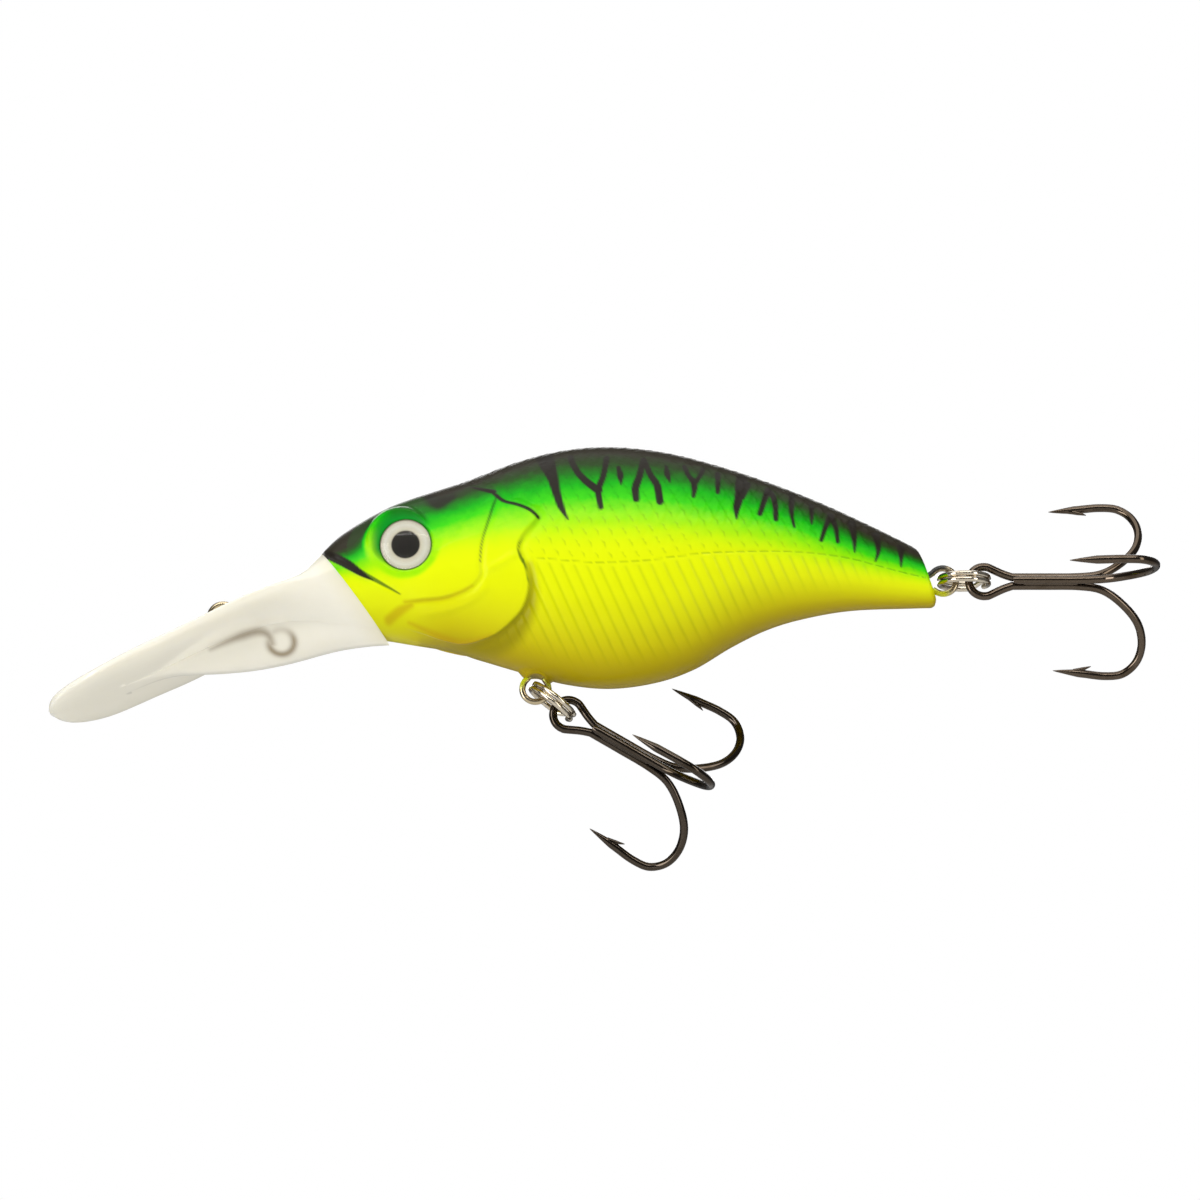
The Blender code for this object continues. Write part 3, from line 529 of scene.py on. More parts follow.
markings = {
    "sprayLow": [  # height of the lime edge along the body
        (11.0, 3.3), (14.0, 4.0), (16.0, 4.4), (18.0, 5.2), (20.0, 6.2), (26.0, 8.2), (33.0, 9.9),
        (40.0, 10.7), (47.6, 11.0), (57.0, 10.4), (66.6, 8.7), (76.0, 6.2), (83.0, 4.7), (86.0, 4.2),
    ],
    "sprayHigh": [  # height of the dark edge
        (11.0, 5.0), (14.0, 6.2), (16.0, 7.0), (18.0, 9.6), (20.0, 12.0), (23.0, 12.9), (26.0, 12.7),
        (33.0, 15.4), (40.0, 17.3), (47.6, 17.7), (57.0, 16.5), (66.6, 13.7), (76.0, 9.4),
        (83.0, 6.7), (86.0, 6.0),
    ],
    "black": [  # dark strokes hanging from the back, and the painted lines of the head
        ([(38.5, 19.0), (38.9, 17.6), (39.6, 15.5), (40.0, 13.7), (40.6, 11.7), (41.4, 10.1)],
         (0.9, 0.75, 0.55, 0.42, 0.34, 0.08)),
        ([(41.7, 18.6), (41.9, 17.7), (42.6, 16.2), (43.7, 14.9), (45.0, 13.8)], (0.3, 0.36, 0.42)),
        ([(46.0, 18.4), (45.6, 15.8), (45.0, 13.8), (45.3, 11.6)], (0.3, 0.3, 0.36, 0.25)),
        ([(47.4, 17.0), (47.6, 15.9), (47.7, 14.6)], (0.2, 0.36, 0.08)),
        ([(50.4, 18.2), (49.9, 15.8), (49.4, 14.1), (49.5, 12.7)], (0.3, 0.34, 0.4, 0.34)),
        ([(50.4, 18.2), (51.2, 16.0), (52.0, 14.5), (52.3, 12.4)], (0.3, 0.32, 0.38, 0.36)),
        ([(53.1, 17.2), (53.2, 16.3), (53.5, 15.0)], (0.2, 0.32, 0.08)),
        ([(55.3, 17.4), (55.7, 16.2), (56.4, 14.9), (56.3, 13.2)], (0.24, 0.26, 0.36, 0.18)),
        ([(57.5, 17.2), (57.2, 16.2), (56.4, 14.9)], (0.24, 0.24, 0.3)),
        ([(59.3, 16.6), (59.2, 13.9)], (0.28, 0.28, 0.22)),
        ([(62.2, 16.2), (62.0, 15.0), (61.7, 13.1), (61.4, 11.8), (61.4, 10.5)],
         (0.6, 0.56, 0.46, 0.38, 0.08)),
        ([(62.9, 15.3), (62.2, 13.3)], (0.34, 0.2)),
        ([(65.3, 14.8), (64.8, 13.2), (64.2, 11.3)], (0.3, 0.3, 0.26)),
        ([(65.3, 14.8), (66.0, 13.3), (66.1, 10.7)], (0.3, 0.3, 0.26)),
        ([(68.2, 14.2), (68.0, 11.7), (68.3, 9.8)], (0.34, 0.28, 0.12)),
        ([(70.5, 12.9), (70.4, 10.3)], (0.26, 0.24, 0.1)),
        ([(72.8, 11.7), (72.1, 10.1), (71.5, 8.3)], (0.28, 0.26, 0.2)),
        ([(72.8, 11.7), (73.3, 10.1), (73.5, 8.2)], (0.28, 0.26, 0.2)),
        ([(75.3, 10.8), (75.5, 8.7), (75.5, 7.0)], (0.44, 0.32, 0.08)),
        ([(78.2, 9.4), (78.4, 7.4), (78.0, 6.0)], (0.42, 0.28, 0.08)),
        ([(81.2, 7.9), (81.1, 5.5)], (0.4, 0.24, 0.08)),
        ([(11.2, 7.1), (12.2, 6.5), (13.9, 5.7), (15.5, 4.8), (17.3, 3.6), (18.4, 3.0)],
         (0.4, 0.5, 0.5, 0.46, 0.3, 0.05)),
        ([(29.9, 14.7), (30.9, 14.3), (32.6, 13.8)], (0.1, 0.2, 0.3)),
        ([(32.4, 13.7), (33.8, 12.5), (35.4, 12.0), (36.9, 11.3), (37.9, 10.3)],
         (0.16, 0.26, 0.28, 0.26, 0.16)),
    ],
    "blackBlur": [([(24.6, 13.8), (26.0, 12.6), (27.6, 13.4)], (0.5, 0.9, 0.5))],
    "green": [
        ([(17.0, 3.9), (19.4, 2.6), (21.6, 1.4)], (0.3, 0.2, 0.08)),
        ([(33.0, 13.2), (32.2, 10.5), (31.3, 7.3), (31.1, 4.9)], (0.14, 0.1, 0.07, 0.05)),
        ([(36.1, 7.8), (35.6, 6.8), (35.8, 5.7), (36.5, 4.2), (36.8, 2.4)],
         (0.02, 0.06, 0.2, 0.05, 0.02)),
    ],
    "olive": [  # painted shade behind the raised edge of the gill cover
        ([(36.9, 4.6), (37.3, 1.8), (36.6, -0.6), (35.2, -2.5), (33.2, -3.9), (30.4, -4.5),
          (27.0, -4.2), (24.0, -3.6)], (0.2, 0.5, 1.0, 1.5, 1.2, 0.6, 0.3, 0.1)),
    ],
    "amber": [
        ([(22.9, 0.2), (21.6, -0.4), (20.2, -1.3)], (0.3, 0.5, 0.5)),
        ([(22.2, 0.5), (24.6, 0.7), (27.4, 1.0), (30.2, 2.2)], (0.18, 0.16, 0.14, 0.05)),
        ([(22.6, -1.6), (26.6, -3.0), (29.2, -3.7), (32.4, -3.1)], (0.1, 0.26, 0.32, 0.1)),
    ],
    "lateral": [
        (36.8, 5.5), (42.1, 5.0), (45.4, 4.8), (48.2, 4.9), (51.2, 5.2), (55.1, 5.8), (58.1, 6.2),
        (62.1, 6.5), (66.4, 6.7), (69.4, 6.7), (72.5, 6.5), (75.5, 6.1), (78.6, 5.4), (81.7, 4.7),
        (86.0, 3.9),
    ],
}

brushes = {  # growth of the widths, softness of the edge, strength
    "black": (1.22, 0.2, 1.0),
    "blackBlur": (1.0, 0.9, 0.9),
    "green": (1.0, 0.16, 0.8),
    "olive": (1.0, 1.6, 0.75),
    "amber": (1.0, 0.7, 0.6),
}

relief = {  # moulded detail of the shells, in millimetres
    "gillCover": [
        (30.7, 14.8), (32.8, 14.0), (33.8, 12.5), (35.4, 12.0), (36.9, 11.3), (37.9, 10.3),
        (36.3, 8.2), (35.6, 6.8), (35.8, 5.7), (36.5, 4.2), (36.9, 2.2), (36.3, -0.2), (34.8, -1.9),
        (33.0, -3.1), (31.0, -3.7), (29.0, -3.9), (26.5, -3.4), (24.1, -2.7), (21.7, -2.1),
        (19.6, -1.4),
    ],
    "gillRise": 0.42,
    "gillFall": 3.2,  # how far in front of its edge the cover sinks back
    "gillGroove": (0.16, 0.45, 0.4),  # depth, distance behind the edge, half width
    "cheek": [
        (33.0, 13.4), (32.2, 10.5), (31.3, 7.3), (31.1, 4.9), (31.1, 3.3), (29.4, 1.7), (26.7, 1.0),
        (23.9, 0.8), (22.0, 0.5),
    ],
    "cheekRise": 0.17,
    "cheekFall": 2.2,
    "cheekGroove": (0.14, 0.3, 0.28),
    "cheekFold": [(32.4, 3.0), (30.6, 1.0), (27.9, -0.2), (25.4, -0.6), (23.0, -0.8)],
    "gillFold": [(31.2, 3.7), (33.3, 4.7), (35.6, 6.0)],
    "foldRise": 0.16,
    "foldHalf": 0.5,
    "mouth": [
        (11.0, 7.4), (12.2, 6.6), (13.9, 5.7), (15.5, 4.7), (17.3, 3.5), (19.4, 2.5), (21.8, 1.4),
    ],
    "mouthDepth": 0.34,
    "mouthHalf": 0.3,
    "scaledFrom": 24.0,  # behind the head
    "scaledTo": 83.4,
    "scalePitch": 1.57,
    "scaleRow": 1.5,
    "scaleLong": 1.24,
    "scaleTall": 1.62,
    "scaleRise": 0.085,
    "ribPitch": 1.5,
    "ribLean": 0.45,
    "ribRise": 0.055,
    "ribGroove": 0.075,
    "ribHalf": 0.17,
    "ribsTo": 84.0,
    "ribsLow": 3.5,  # distance from the belly seam where they run out
    "dashPitch": 1.39,
    "dashDepth": 0.09,
    "dashHalf": 0.085,
    "dashFill": 0.82,
    "dashFrom": 36.9,
    "dashTo": 84.3,
}

eye = {
    "centre": (22.2, 6.75, 7.35),
    "axis": (-0.06, 1.0, 0.04),
    "radius": 3.0,
    "seat": 3.08,
    "seatDepth": 0.36,
    "rim": 3.45,
    "rimLean": 1.0,  # how much further the rim stands out towards the forehead
    "rimRise": 0.30,
    "rimLift": 0.36,
    "leanTurn": 135.0,
    "slope": 1.25,
    "fall": 1.2,
    "blend": 0.35,
    "reach": 7.0,
    "snap": 0.1,  # grid points this close to the seat's rim are moved onto it
    "shadowTurn": 128.0,
    "paintReach": 1.2,
}


def scalePattern(s, g):  # overlapping scales: how high the surface stands, and the shade under each edge
    pitch, row, long, tall = (relief[k] for k in ("scalePitch", "scaleRow", "scaleLong", "scaleTall"))
    front = np.full(s.shape, 1e9)
    edge, above = np.zeros(s.shape), np.zeros(s.shape)
    first = np.floor(g / row)
    for rowStep in (-1, 0, 1, 2):
        line = first + rowStep
        offset = np.where(np.mod(line, 2) == 0, 0.0, pitch / 2)
        column = np.floor((s - offset) / pitch)
        for columnStep in (-1, 0, 1):
            centre = (column + columnStep) * pitch + offset
            reach = np.hypot((s - centre) / long, (g - line * row) / tall)
            covers = (reach < 1) & (centre < front)
            front = np.where(covers, centre, front)
            edge = np.where(covers, 1 - reach, edge)
            above = np.where(covers, (g - line * row) / tall, above)
    height = np.clip((s - front) / long * 0.5 + 0.5, 0, 1) ** 2
    shade = ease((0.2 - edge) / 0.14) * ease((above - 0.12) / 0.2) * ease((0.85 - above) / 0.25)
    return height, shade


def headRelief(x, z, inside, gillAlong, mouth):  # gill cover, cheek plate, their folds and the mouth
    sink = 0.35 + 0.65 * np.exp(-np.maximum(inside, 0) / relief["gillFall"])
    cover = relief["gillRise"] * ease((inside + 0.12) / 0.34) * sink
    fade = ease((x - 21.0) / 6.0) * (1 - 0.75 * ease((0.16 - gillAlong) / 0.14))
    deep, back, half = relief["gillGroove"]
    height = (cover - deep * hump(inside + back, half)) * fade
    gap, along, side = toLine(x, z, relief["cheek"])
    cheek = gap * -side
    ends = ease(along / 0.12) * ease((1 - along) / 0.1)
    sink = np.exp(-np.maximum(cheek, 0) / relief["cheekFall"])
    plate = relief["cheekRise"] * ease((cheek + 0.1) / 0.3) * sink
    deep, back, half = relief["cheekGroove"]
    height += (plate - deep * hump(cheek + back, half)) * ends
    for key in ("cheekFold", "gillFold"):
        gap, along, side = toLine(x, z, relief[key])
        ends = ease(along / 0.2) * ease((1 - along) / 0.2)
        height += relief["foldRise"] * hump(gap, relief["foldHalf"]) * ends
    gap, along, side = mouth
    deep = relief["mouthDepth"] * (1 - 0.75 * along) * ease((1 - along) / 0.12)
    return height - deep * hump(gap, relief["mouthHalf"])


def flankRelief(x, girth, behind):  # scales over the lateral line, ribs under it and dashes along it, with painted shade under the scale edges and in the grooves
    side = girth["fromLateral"]
    scales, scaleShade = scalePattern(x, side)
    upper = behind * ease((side - 0.35) / 0.4) * ease((relief["scaledTo"] - x) / 1.2)
    share = np.mod((x + relief["ribLean"] * side) / relief["ribPitch"], 1.0)
    near = np.minimum(share, 1 - share) * relief["ribPitch"]
    lower = behind * ease((-side - 0.25) / 0.4) * ease((girth["toBelly"] - relief["ribsLow"]) / 5.0)
    lower = lower * ease((relief["ribsTo"] - x) / 1.5)
    ribs = relief["ribRise"] * ease(share / 0.85) * ease((1 - share) / 0.12)
    ribs = ribs - relief["ribGroove"] * hump(near, relief["ribHalf"])
    run = np.abs(np.mod(x / relief["dashPitch"], 1.0) - 0.5) * 2
    dashes = hump(side, relief["dashHalf"]) * ease((relief["dashFill"] - run) / 0.15)
    dashes = dashes * ease((x - relief["dashFrom"]) / 0.4) * ease((relief["dashTo"] - x) / 0.6)
    height = relief["scaleRise"] * (scales - 0.4) * upper + lower * ribs
    shade = 0.62 * scaleShade * upper + 0.95 * dashes + 0.36 * lower * hump(near, 0.2)
    shade = np.clip(shade, 0, 1) * (0.5 + 0.5 * ease((x - 36.5) / 3.0))
    return height - relief["dashDepth"] * dashes, shade


def brushMask(name, x, z):
    growth, soft, strength = brushes[name]
    mask = np.zeros(x.shape)
    for points, widths in markings[name]:
        grown = [growth * width for width in widths]
        mask = np.maximum(mask, strength * stroke(x, z, points, grown, soft))
    return mask


def bodyDetail(place, girth):  # relief along the normal, and the paint masks, painted shade among them
    x, z = place[..., 0], place[..., 2]
    low, high = readLine(markings["sprayLow"], x), readLine(markings["sprayHigh"], x)
    spray = (z - low) / (high - low)
    gillGap, gillAlong, gillSide = toLine(x, z, relief["gillCover"])
    inside = gillGap * -gillSide  # + on the cover, - behind it
    behind = ease((-inside - 0.1) / 0.5) * ease((x - relief["scaledFrom"]) / 4.0)
    mouth = toLine(x, z, relief["mouth"])
    masks = {name: brushMask(name, x, z) for name in ("green", "olive", "amber")}
    # painted shade only behind the cover's raised edge, not on the cover
    masks["olive"] = masks["olive"] * (1 - ease((inside + 0.05) / 0.25))
    masks["black"] = np.maximum(brushMask("black", x, z), brushMask("blackBlur", x, z))
    # the second value is painted shade under the scale edges and in the grooves
    height, masks["dash"] = flankRelief(x, girth, behind)
    height = height + headRelief(x, z, inside, gillAlong, mouth)
    jaw = ease((mouth[0] * -mouth[2]) / 0.5) * ease((21.5 - x) / 1.5)  # + below the mouth line
    spray = np.where(jaw > 0, spray + (np.minimum(spray, 0.12) - spray) * jaw, spray)
    belly = readLine(form["belly"], x)
    # darker towards the belly, partly ochre paint and partly painted shade of the underside, weaker at the
    # head
    masks["flank"] = np.clip((low - z) / (low - belly), 0, 1) * (0.78 + 0.22 * ease((x - 20.0) / 8.0))
    edge = ease((x - planeAt(z, form["nose"], form["chin"])) / 0.5)
    toTail = planeAt(z, form["tailTop"], form["tailFoot"]) - x
    rounding = shell["tailRounding"]
    inset = rounding - np.sqrt(rounding**2 - np.clip(rounding - toTail, 0, rounding) ** 2)
    return height * edge * ease(toTail / 0.8) - inset, spray, masks


def eyeDetail(place, spray, masks):  # the raised socket, the seat for the eye and their paint, with painted shade in the socket
    axis = np.array(Vector(eye["axis"]).normalized())
    offset = place - np.array(eye["centre"])
    rise = offset @ axis
    flat = offset - rise[..., None] * axis
    reach = np.sqrt((flat**2).sum(-1))
    seat = eye["seat"]
    snap = np.abs(reach - seat) < eye["snap"]
    flat = np.where(snap[..., None], flat * (seat / np.maximum(reach, 1e-6))[..., None], flat)
    reach = np.where(snap, seat, reach)
    turn = np.arctan2(flat[..., 2], flat[..., 0])
    lean = np.clip(np.cos(turn - math.radians(eye["leanTurn"])), 0, 1)
    rim = eye["rim"] + eye["rimLean"] * lean
    crest = eye["rimRise"] + eye["rimLift"] * lean
    out = np.maximum(reach - rim, 0)
    cone = crest - eye["slope"] * (np.sqrt(out**2 + 0.04) - 0.2) - eye["fall"] * out**2
    skin = softMax(rise, cone, eye["blend"])
    close = reach < eye["reach"]
    skin = np.where(close, skin, rise)
    funnel = ease((reach - seat) / (rim - seat))
    skin = np.where(reach < rim, 0.1 + (skin - 0.1) * funnel, skin)
    skin = np.where(reach < seat - 0.02, -eye["seatDepth"], skin)
    near = close & (place[..., 1] > 0.5)
    moved = np.array(eye["centre"]) + flat + skin[..., None] * axis
    place = np.where(near[..., None], moved, place)
    bulge = ease((rim + eye["paintReach"] - reach) / 0.8) * near
    onBulge = -0.12 + 0.98 * np.clip(np.sin(turn), 0, 1) ** 1.2
    spray = spray + (onBulge - spray) * bulge
    # painted shade: darker green in the socket's recess towards its upper front, strongest next to the seat
    shadow = ease((np.cos(turn - math.radians(eye["shadowTurn"])) + 0.25) / 0.75)
    masks["socket"] = near * shadow * (1 - 0.92 * ease((reach - seat) / (rim - seat + 0.3)))
    line = near * hump(reach - seat, 0.1)
    masks["green"] = np.maximum(masks["green"], 0.85 * line)
    masks["black"] = masks["black"] * (1 - bulge * (reach < rim + 0.6))
    return place, spray, masks


def girthLengths(place):  # distances round the flank, from the lateral line and from the belly seam
    step = np.sqrt((np.diff(place, axis=1) ** 2).sum(-1))
    gone = np.concatenate([np.zeros((place.shape[0], 1)), np.cumsum(step, axis=1)], axis=1)
    lateral = readLine(markings["lateral"], place[..., 0])
    above = place[..., 2] - lateral
    crossing = np.empty(place.shape[0])
    for k in range(place.shape[0]):
        crossing[k] = np.interp(0.0, -above[k], gone[k])
    return {
        "fromLateral": crossing[:, None] - gone,
        "toBelly": gone[:, -1:] - gone,
    }


def surfaceNormals(place):
    along, around = np.gradient(place, axis=0), np.gradient(place, axis=1)
    normal = np.cross(around, along)
    normal /= np.maximum(np.sqrt((normal**2).sum(-1)), 1e-9)[..., None]
    middle = normal[place.shape[0] // 2, place.shape[1] // 2, 1]
    return normal if middle > 0 else -normal


shell = {
    "lengthSteps": 394,
    "girthSteps": 238,
    "frontBetween": (8.0, 24.0),
    "rearBetween": (80.0, 87.0),
    "seamGap": 0.006,
    "wall": 1.5,
    "hollow": (24.6, 74.6),
    "hollowSteps": (56, 22),
    "bossAt": 37.5,  # short neck round the belly hanger, notched for the ring
    "bossReach": 2.3,
    "bossRise": 0.6,
    "notch": 1.55,
    "notchHeight": -8.75,
    "tailRounding": 0.7,
}


def gridPlaces(bm, mesh, steps):  # a flat grid's vertices as row and column numbers
    bm.to_mesh(mesh)
    flat = np.empty(len(mesh.vertices) * 3)
    mesh.vertices.foreach_get("co", flat)
    flat = flat.reshape(-1, 3) + 0.5
    return np.rint(flat[:, 0] * steps[0]).astype(int), np.rint(flat[:, 1] * steps[1]).astype(int)


def shapeShell():  # places and masks of the right flank, as arrays along and around the body
    steps = (shell["lengthSteps"], shell["girthSteps"])
    turn = math.pi / 2 - math.pi * np.linspace(0, 1, steps[1] + 1)

    def heightAt(x):
        return formPoint(x, turn)[1]

    start = meetPlane(heightAt, len(turn), form["nose"], form["chin"], *shell["frontBetween"])
    end = meetPlane(heightAt, len(turn), form["tailTop"], form["tailFoot"], *shell["rearBetween"])
    share = np.linspace(0, 1, steps[0] + 1)[:, None]
    x = start + (end - start) * share
    y, z = formPoint(x, np.broadcast_to(turn, x.shape))
    place = np.stack([x, np.maximum(y, 0.0), z], axis=-1)
    normal = surfaceNormals(place)
    girth = girthLengths(place)
    height, spray, masks = bodyDetail(place, girth)
    place = place + normal * height[..., None]
    place, spray, masks = eyeDetail(place, spray, masks)
    reach = np.hypot(place[..., 0] - shell["bossAt"], place[..., 1])
    notch = np.sqrt(np.maximum(shell["notch"] ** 2 - (place[..., 0] - shell["bossAt"]) ** 2, 0))
    room = place[..., 2] - (shell["notchHeight"] + notch)
    neck = shell["bossRise"] * ease((shell["bossReach"] - reach) / 0.9) * (place[..., 2] < 0)
    place[..., 2] -= np.clip(np.minimum(neck, room), 0, None)
    masks["spray"] = np.clip((spray + 1) / 3, 0, 1)
    masks["above"] = ease((spray + 0.9) / 0.8)
    place[:, 0, 1] = place[:, -1, 1] = 0.0
    place[..., 1] += shell["seamGap"]
    return place, masks


def closeEnds(bm, row, lastRow, gap):  # walls in the two open ends with strips down to the middle plane
    bm.verts.ensure_lookup_table()
    rims = [{bm.verts[k] for k in np.flatnonzero(row == end)} for end in (0, lastRow)]
    for rim in rims:
        edges = [e for e in bm.edges if e.is_boundary and rim.issuperset(e.verts)]
        grown = bmesh.ops.extrude_edge_only(bm, edges=edges)["geom"]
        for vert in [g for g in grown if isinstance(g, bmesh.types.BMVert)]:
            vert.co.y = math.copysign(gap, vert.co.y)


def buildShell(name, side, place, masks, material, replaced):
    steps = (shell["lengthSteps"], shell["girthSteps"])
    bm = bmesh.new()
    bmesh.ops.create_grid(bm, x_segments=steps[0], y_segments=steps[1], size=0.5)
    mesh = bpy.data.meshes.new(name)
    row, column = gridPlaces(bm, mesh, steps)
    bm.free()
    turned = place[row, column] * np.array([1.0, side, 1.0])
    mesh.vertices.foreach_set("co", turned.astype(np.float32).ravel())
    for key in sorted(masks):
        mesh.attributes.new(key, "FLOAT", "POINT").data.foreach_set(
            "value", masks[key][row, column].astype(np.float32))
    bm = bmesh.new()
    bm.from_mesh(mesh)
    closeEnds(bm, row, steps[0], shell["seamGap"])
    addHollow(bm, side)
    bmesh.ops.remove_doubles(bm, verts=bm.verts, dist=1e-4)
    bmesh.ops.triangle_fill(bm, edges=[e for e in bm.edges if e.is_boundary], use_beauty=True)
    faceOutwards(bm)
    mesh = meshFrom(name, bm, mesh)
    return addPiece(name, mesh, material, "lure", replaced, sharp=50.0)


def addHollow(bm, side):  # the inside wall, open on the middle plane
    steps = shell["hollowSteps"]
    inner = bmesh.new()
    bmesh.ops.create_grid(inner, x_segments=steps[0], y_segments=steps[1], size=0.5)
    mesh = bpy.data.meshes.new("hollow")
    row, column = gridPlaces(inner, mesh, steps)
    inner.free()
    x = shell["hollow"][0] + (shell["hollow"][1] - shell["hollow"][0]) * row / steps[0]
    y, z = formPoint(x, math.pi / 2 - math.pi * column / steps[1], shell["wall"])
    y = np.where((column == 0) | (column == steps[1]), 0.0, y) + shell["seamGap"]
    mesh.vertices.foreach_set("co", np.stack([x, y * side, z], axis=-1).astype(np.float32).ravel())
    inner = bmesh.new()
    inner.from_mesh(mesh)
    closeEnds(inner, row, steps[0], shell["seamGap"])
    inner.to_mesh(mesh)
    inner.free()
    bm.from_mesh(mesh)
    bpy.data.meshes.remove(mesh)


def meshFrom(name, bm, mesh=None):  # millimetres to metres
    bmesh.ops.scale(bm, vec=(mm, mm, mm), verts=bm.verts)
    mesh = mesh or bpy.data.meshes.new(name)
    bm.to_mesh(mesh)
    bm.free()
    return mesh


def faceOutwards(bm):
    bmesh.ops.recalc_face_normals(bm, faces=bm.faces)
    if bm.calc_volume(signed=True) < 0:
        bmesh.ops.reverse_faces(bm, faces=bm.faces)


def addPiece(name, mesh, material, body, replaced, sharp=35.0):
    obj = addToScene(name, mesh)
    mesh.materials.clear()
    mesh.materials.append(material)
    mesh.shade_smooth()
    mesh.set_sharp_from_angle(angle=math.radians(sharp))
    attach(obj, body)
    if replaced:
        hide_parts(*replaced)
    print("piece", name, len(mesh.polygons), "faces")
    return obj


def pieceFrom(name, bm, material, body, replaced, sharp=35.0):  # from a bmesh in millimetres
    faceOutwards(bm)
    return addPiece(name, meshFrom(name, bm), material, body, replaced, sharp)


def setMask(obj, name, values):
    obj.data.attributes.new(name, "FLOAT", "POINT").data.foreach_set("value", values.astype(np.float32))


def vertexPlaces(obj):
    flat = np.empty(len(obj.data.vertices) * 3)
    obj.data.vertices.foreach_get("co", flat)
    return flat.reshape(-1, 3) / mm


# Wires: a circle carried along a path

def sweepWire(bm, path, radii, sides):
    path = [Vector(p) for p in path]
    heading = []
    for k in range(len(path)):
        ahead, behind = path[min(k + 1, len(path) - 1)], path[max(k - 1, 0)]
        heading.append((ahead - behind).normalized())
    ring = bmesh.ops.create_circle(bm, cap_ends=False, segments=sides, radius=radii[0])["verts"]
    turn = Vector((0, 0, 1)).rotation_difference(heading[0]).to_matrix().to_4x4()
    bmesh.ops.transform(bm, matrix=Matrix.Translation(path[0]) @ turn, verts=ring)
    edges = list(dict.fromkeys(e for v in ring for e in v.link_edges))
    bmesh.ops.edgeloop_fill(bm, edges=edges)
    for k in range(1, len(path)):
        grown = bmesh.ops.extrude_edge_only(bm, edges=edges)["geom"]
        ring = [g for g in grown if isinstance(g, bmesh.types.BMVert)]
        fresh = set(ring)
        edges = [g for g in grown if isinstance(g, bmesh.types.BMEdge) and fresh.issuperset(g.verts)]
        bend = heading[k - 1].rotation_difference(heading[k]).to_matrix().to_4x4()
        step = Matrix.Translation(path[k]) @ bend @ Matrix.Scale(radii[k] / radii[k - 1], 4)
        bmesh.ops.transform(bm, matrix=step @ Matrix.Translation(-path[k - 1]), verts=ring)
    bmesh.ops.edgeloop_fill(bm, edges=edges)


def rounded(count, radius, ends=2):  # radii of a wire whose cut ends are eased
    radii = [radius] * count
    for k in range(ends):
        radii[k] = radii[-1 - k] = radius * (0.72 + 0.28 * (k + 1) / (ends + 1))
    return radii


def arcPoints(centre, radius, start, end, step=6.0):
    count = max(2, math.ceil(abs(end - start) / step))
    turns = [math.radians(start + (end - start) * k / count) for k in range(count + 1)]
    x, z = centre
    return [Vector((x + radius * math.cos(t), 0, z + radius * math.sin(t))) for t in turns]


hanger = {  # turns in degrees, and each leg from the middle of its eye
    "wire": 0.38,  # radius
    "loop": 1.56,  # radius of each eye
    "sides": 20,
    "line": {
        "eye": (0.0, 0.0), "turn": (-62.0, 205.0),
        "anchor": (7.4, -2.67), "anchorTurn": (118.0, -165.0),
        "leg": [(-1.25, -1.9), (-0.7, -3.0), (0.5, -3.4), (2.6, -2.95), (5.0, -2.0)],
    },
    "belly": {
        "eye": (37.5, -8.75), "turn": (52.0, -232.0),
        "anchor": (37.5, -2.1), "anchorTurn": (-62.0, 232.0),
        "leg": [(-0.4, 2.1), (0.0, 3.0), (0.15, 4.1)],
    },
    "tail": {
        "eye": (86.4, 4.43), "turn": (218.0, 502.0),
        "anchor": (79.9, 4.43), "anchorTurn": (-28.0, -322.0),
        "leg": [(-2.1, 0.4), (-3.0, 0.0), (-4.1, -0.15)],
    },
    "bellySpray": 0.05,  # place on the overspray's ramp
}


def buildHanger(name, key, material, replaced):  # eye, leg and anchor eye of one bent wire
    part = hanger[key]
    x, z = part["eye"]
    path = arcPoints(part["eye"], hanger["loop"], *part["turn"])
    path += softPath([(x + legX, 0.0, z + legZ) for legX, legZ in part["leg"]], 8)
    path += arcPoints(part["anchor"], hanger["loop"], *part["anchorTurn"])
    bm = bmesh.new()
    sweepWire(bm, path, rounded(len(path), hanger["wire"]), hanger["sides"])
    obj = pieceFrom(name, bm, material, "lure", [replaced])
    place = vertexPlaces(obj)
    offsetX, offsetZ = place[:, 0] - x, place[:, 2] - z
    return obj, offsetX, offsetZ, np.hypot(offsetX, offsetZ) - hanger["loop"]


def buildHangers(lineMaterial, hangerMaterial):  # paint stays on the outside of the eyes, near the body
    buildHanger("lineTieWire", "line", lineMaterial, "line_tie_wire")
    obj, x, z, out = buildHanger("bellyHangerWire", "belly", hangerMaterial, "belly_hanger_wire")
    setMask(obj, "painted", ease((out + 0.3) / 0.25) * ease((z + 0.5) / 1.2))
    setMask(obj, "spray", np.full(len(out), hanger["bellySpray"]))
    obj, x, z, out = buildHanger("tailHangerWire", "tail", hangerMaterial, "tail_hanger_wire")
    setMask(obj, "painted", ease((out + 0.33) / 0.25) * ease((1.1 - x) / 1.0))
    setMask(obj, "spray", ease((z + 1.4) / 2.4))
    print("hangers ready")


splitRing = {
    "mean": 2.93,
    "wire": 0.33,
    "pitch": 0.70,
    "sides": 18,
    "steps": 190,
    "startTurn": 22.0,
    "endTurn": 698.0,
    "stepFrom": 338.0,
    "stepLong": 44.0,
    "phase": 35.0,
    "bellyTurn": -37.5,
    "tailTurn": 0.0,
}


def chainFrame(origin, degrees):  # x along the chain, y across the lure
    return Matrix.Translation((origin[0], 0, origin[2])) @ Matrix.Rotation(math.radians(-degrees), 4, "Y")


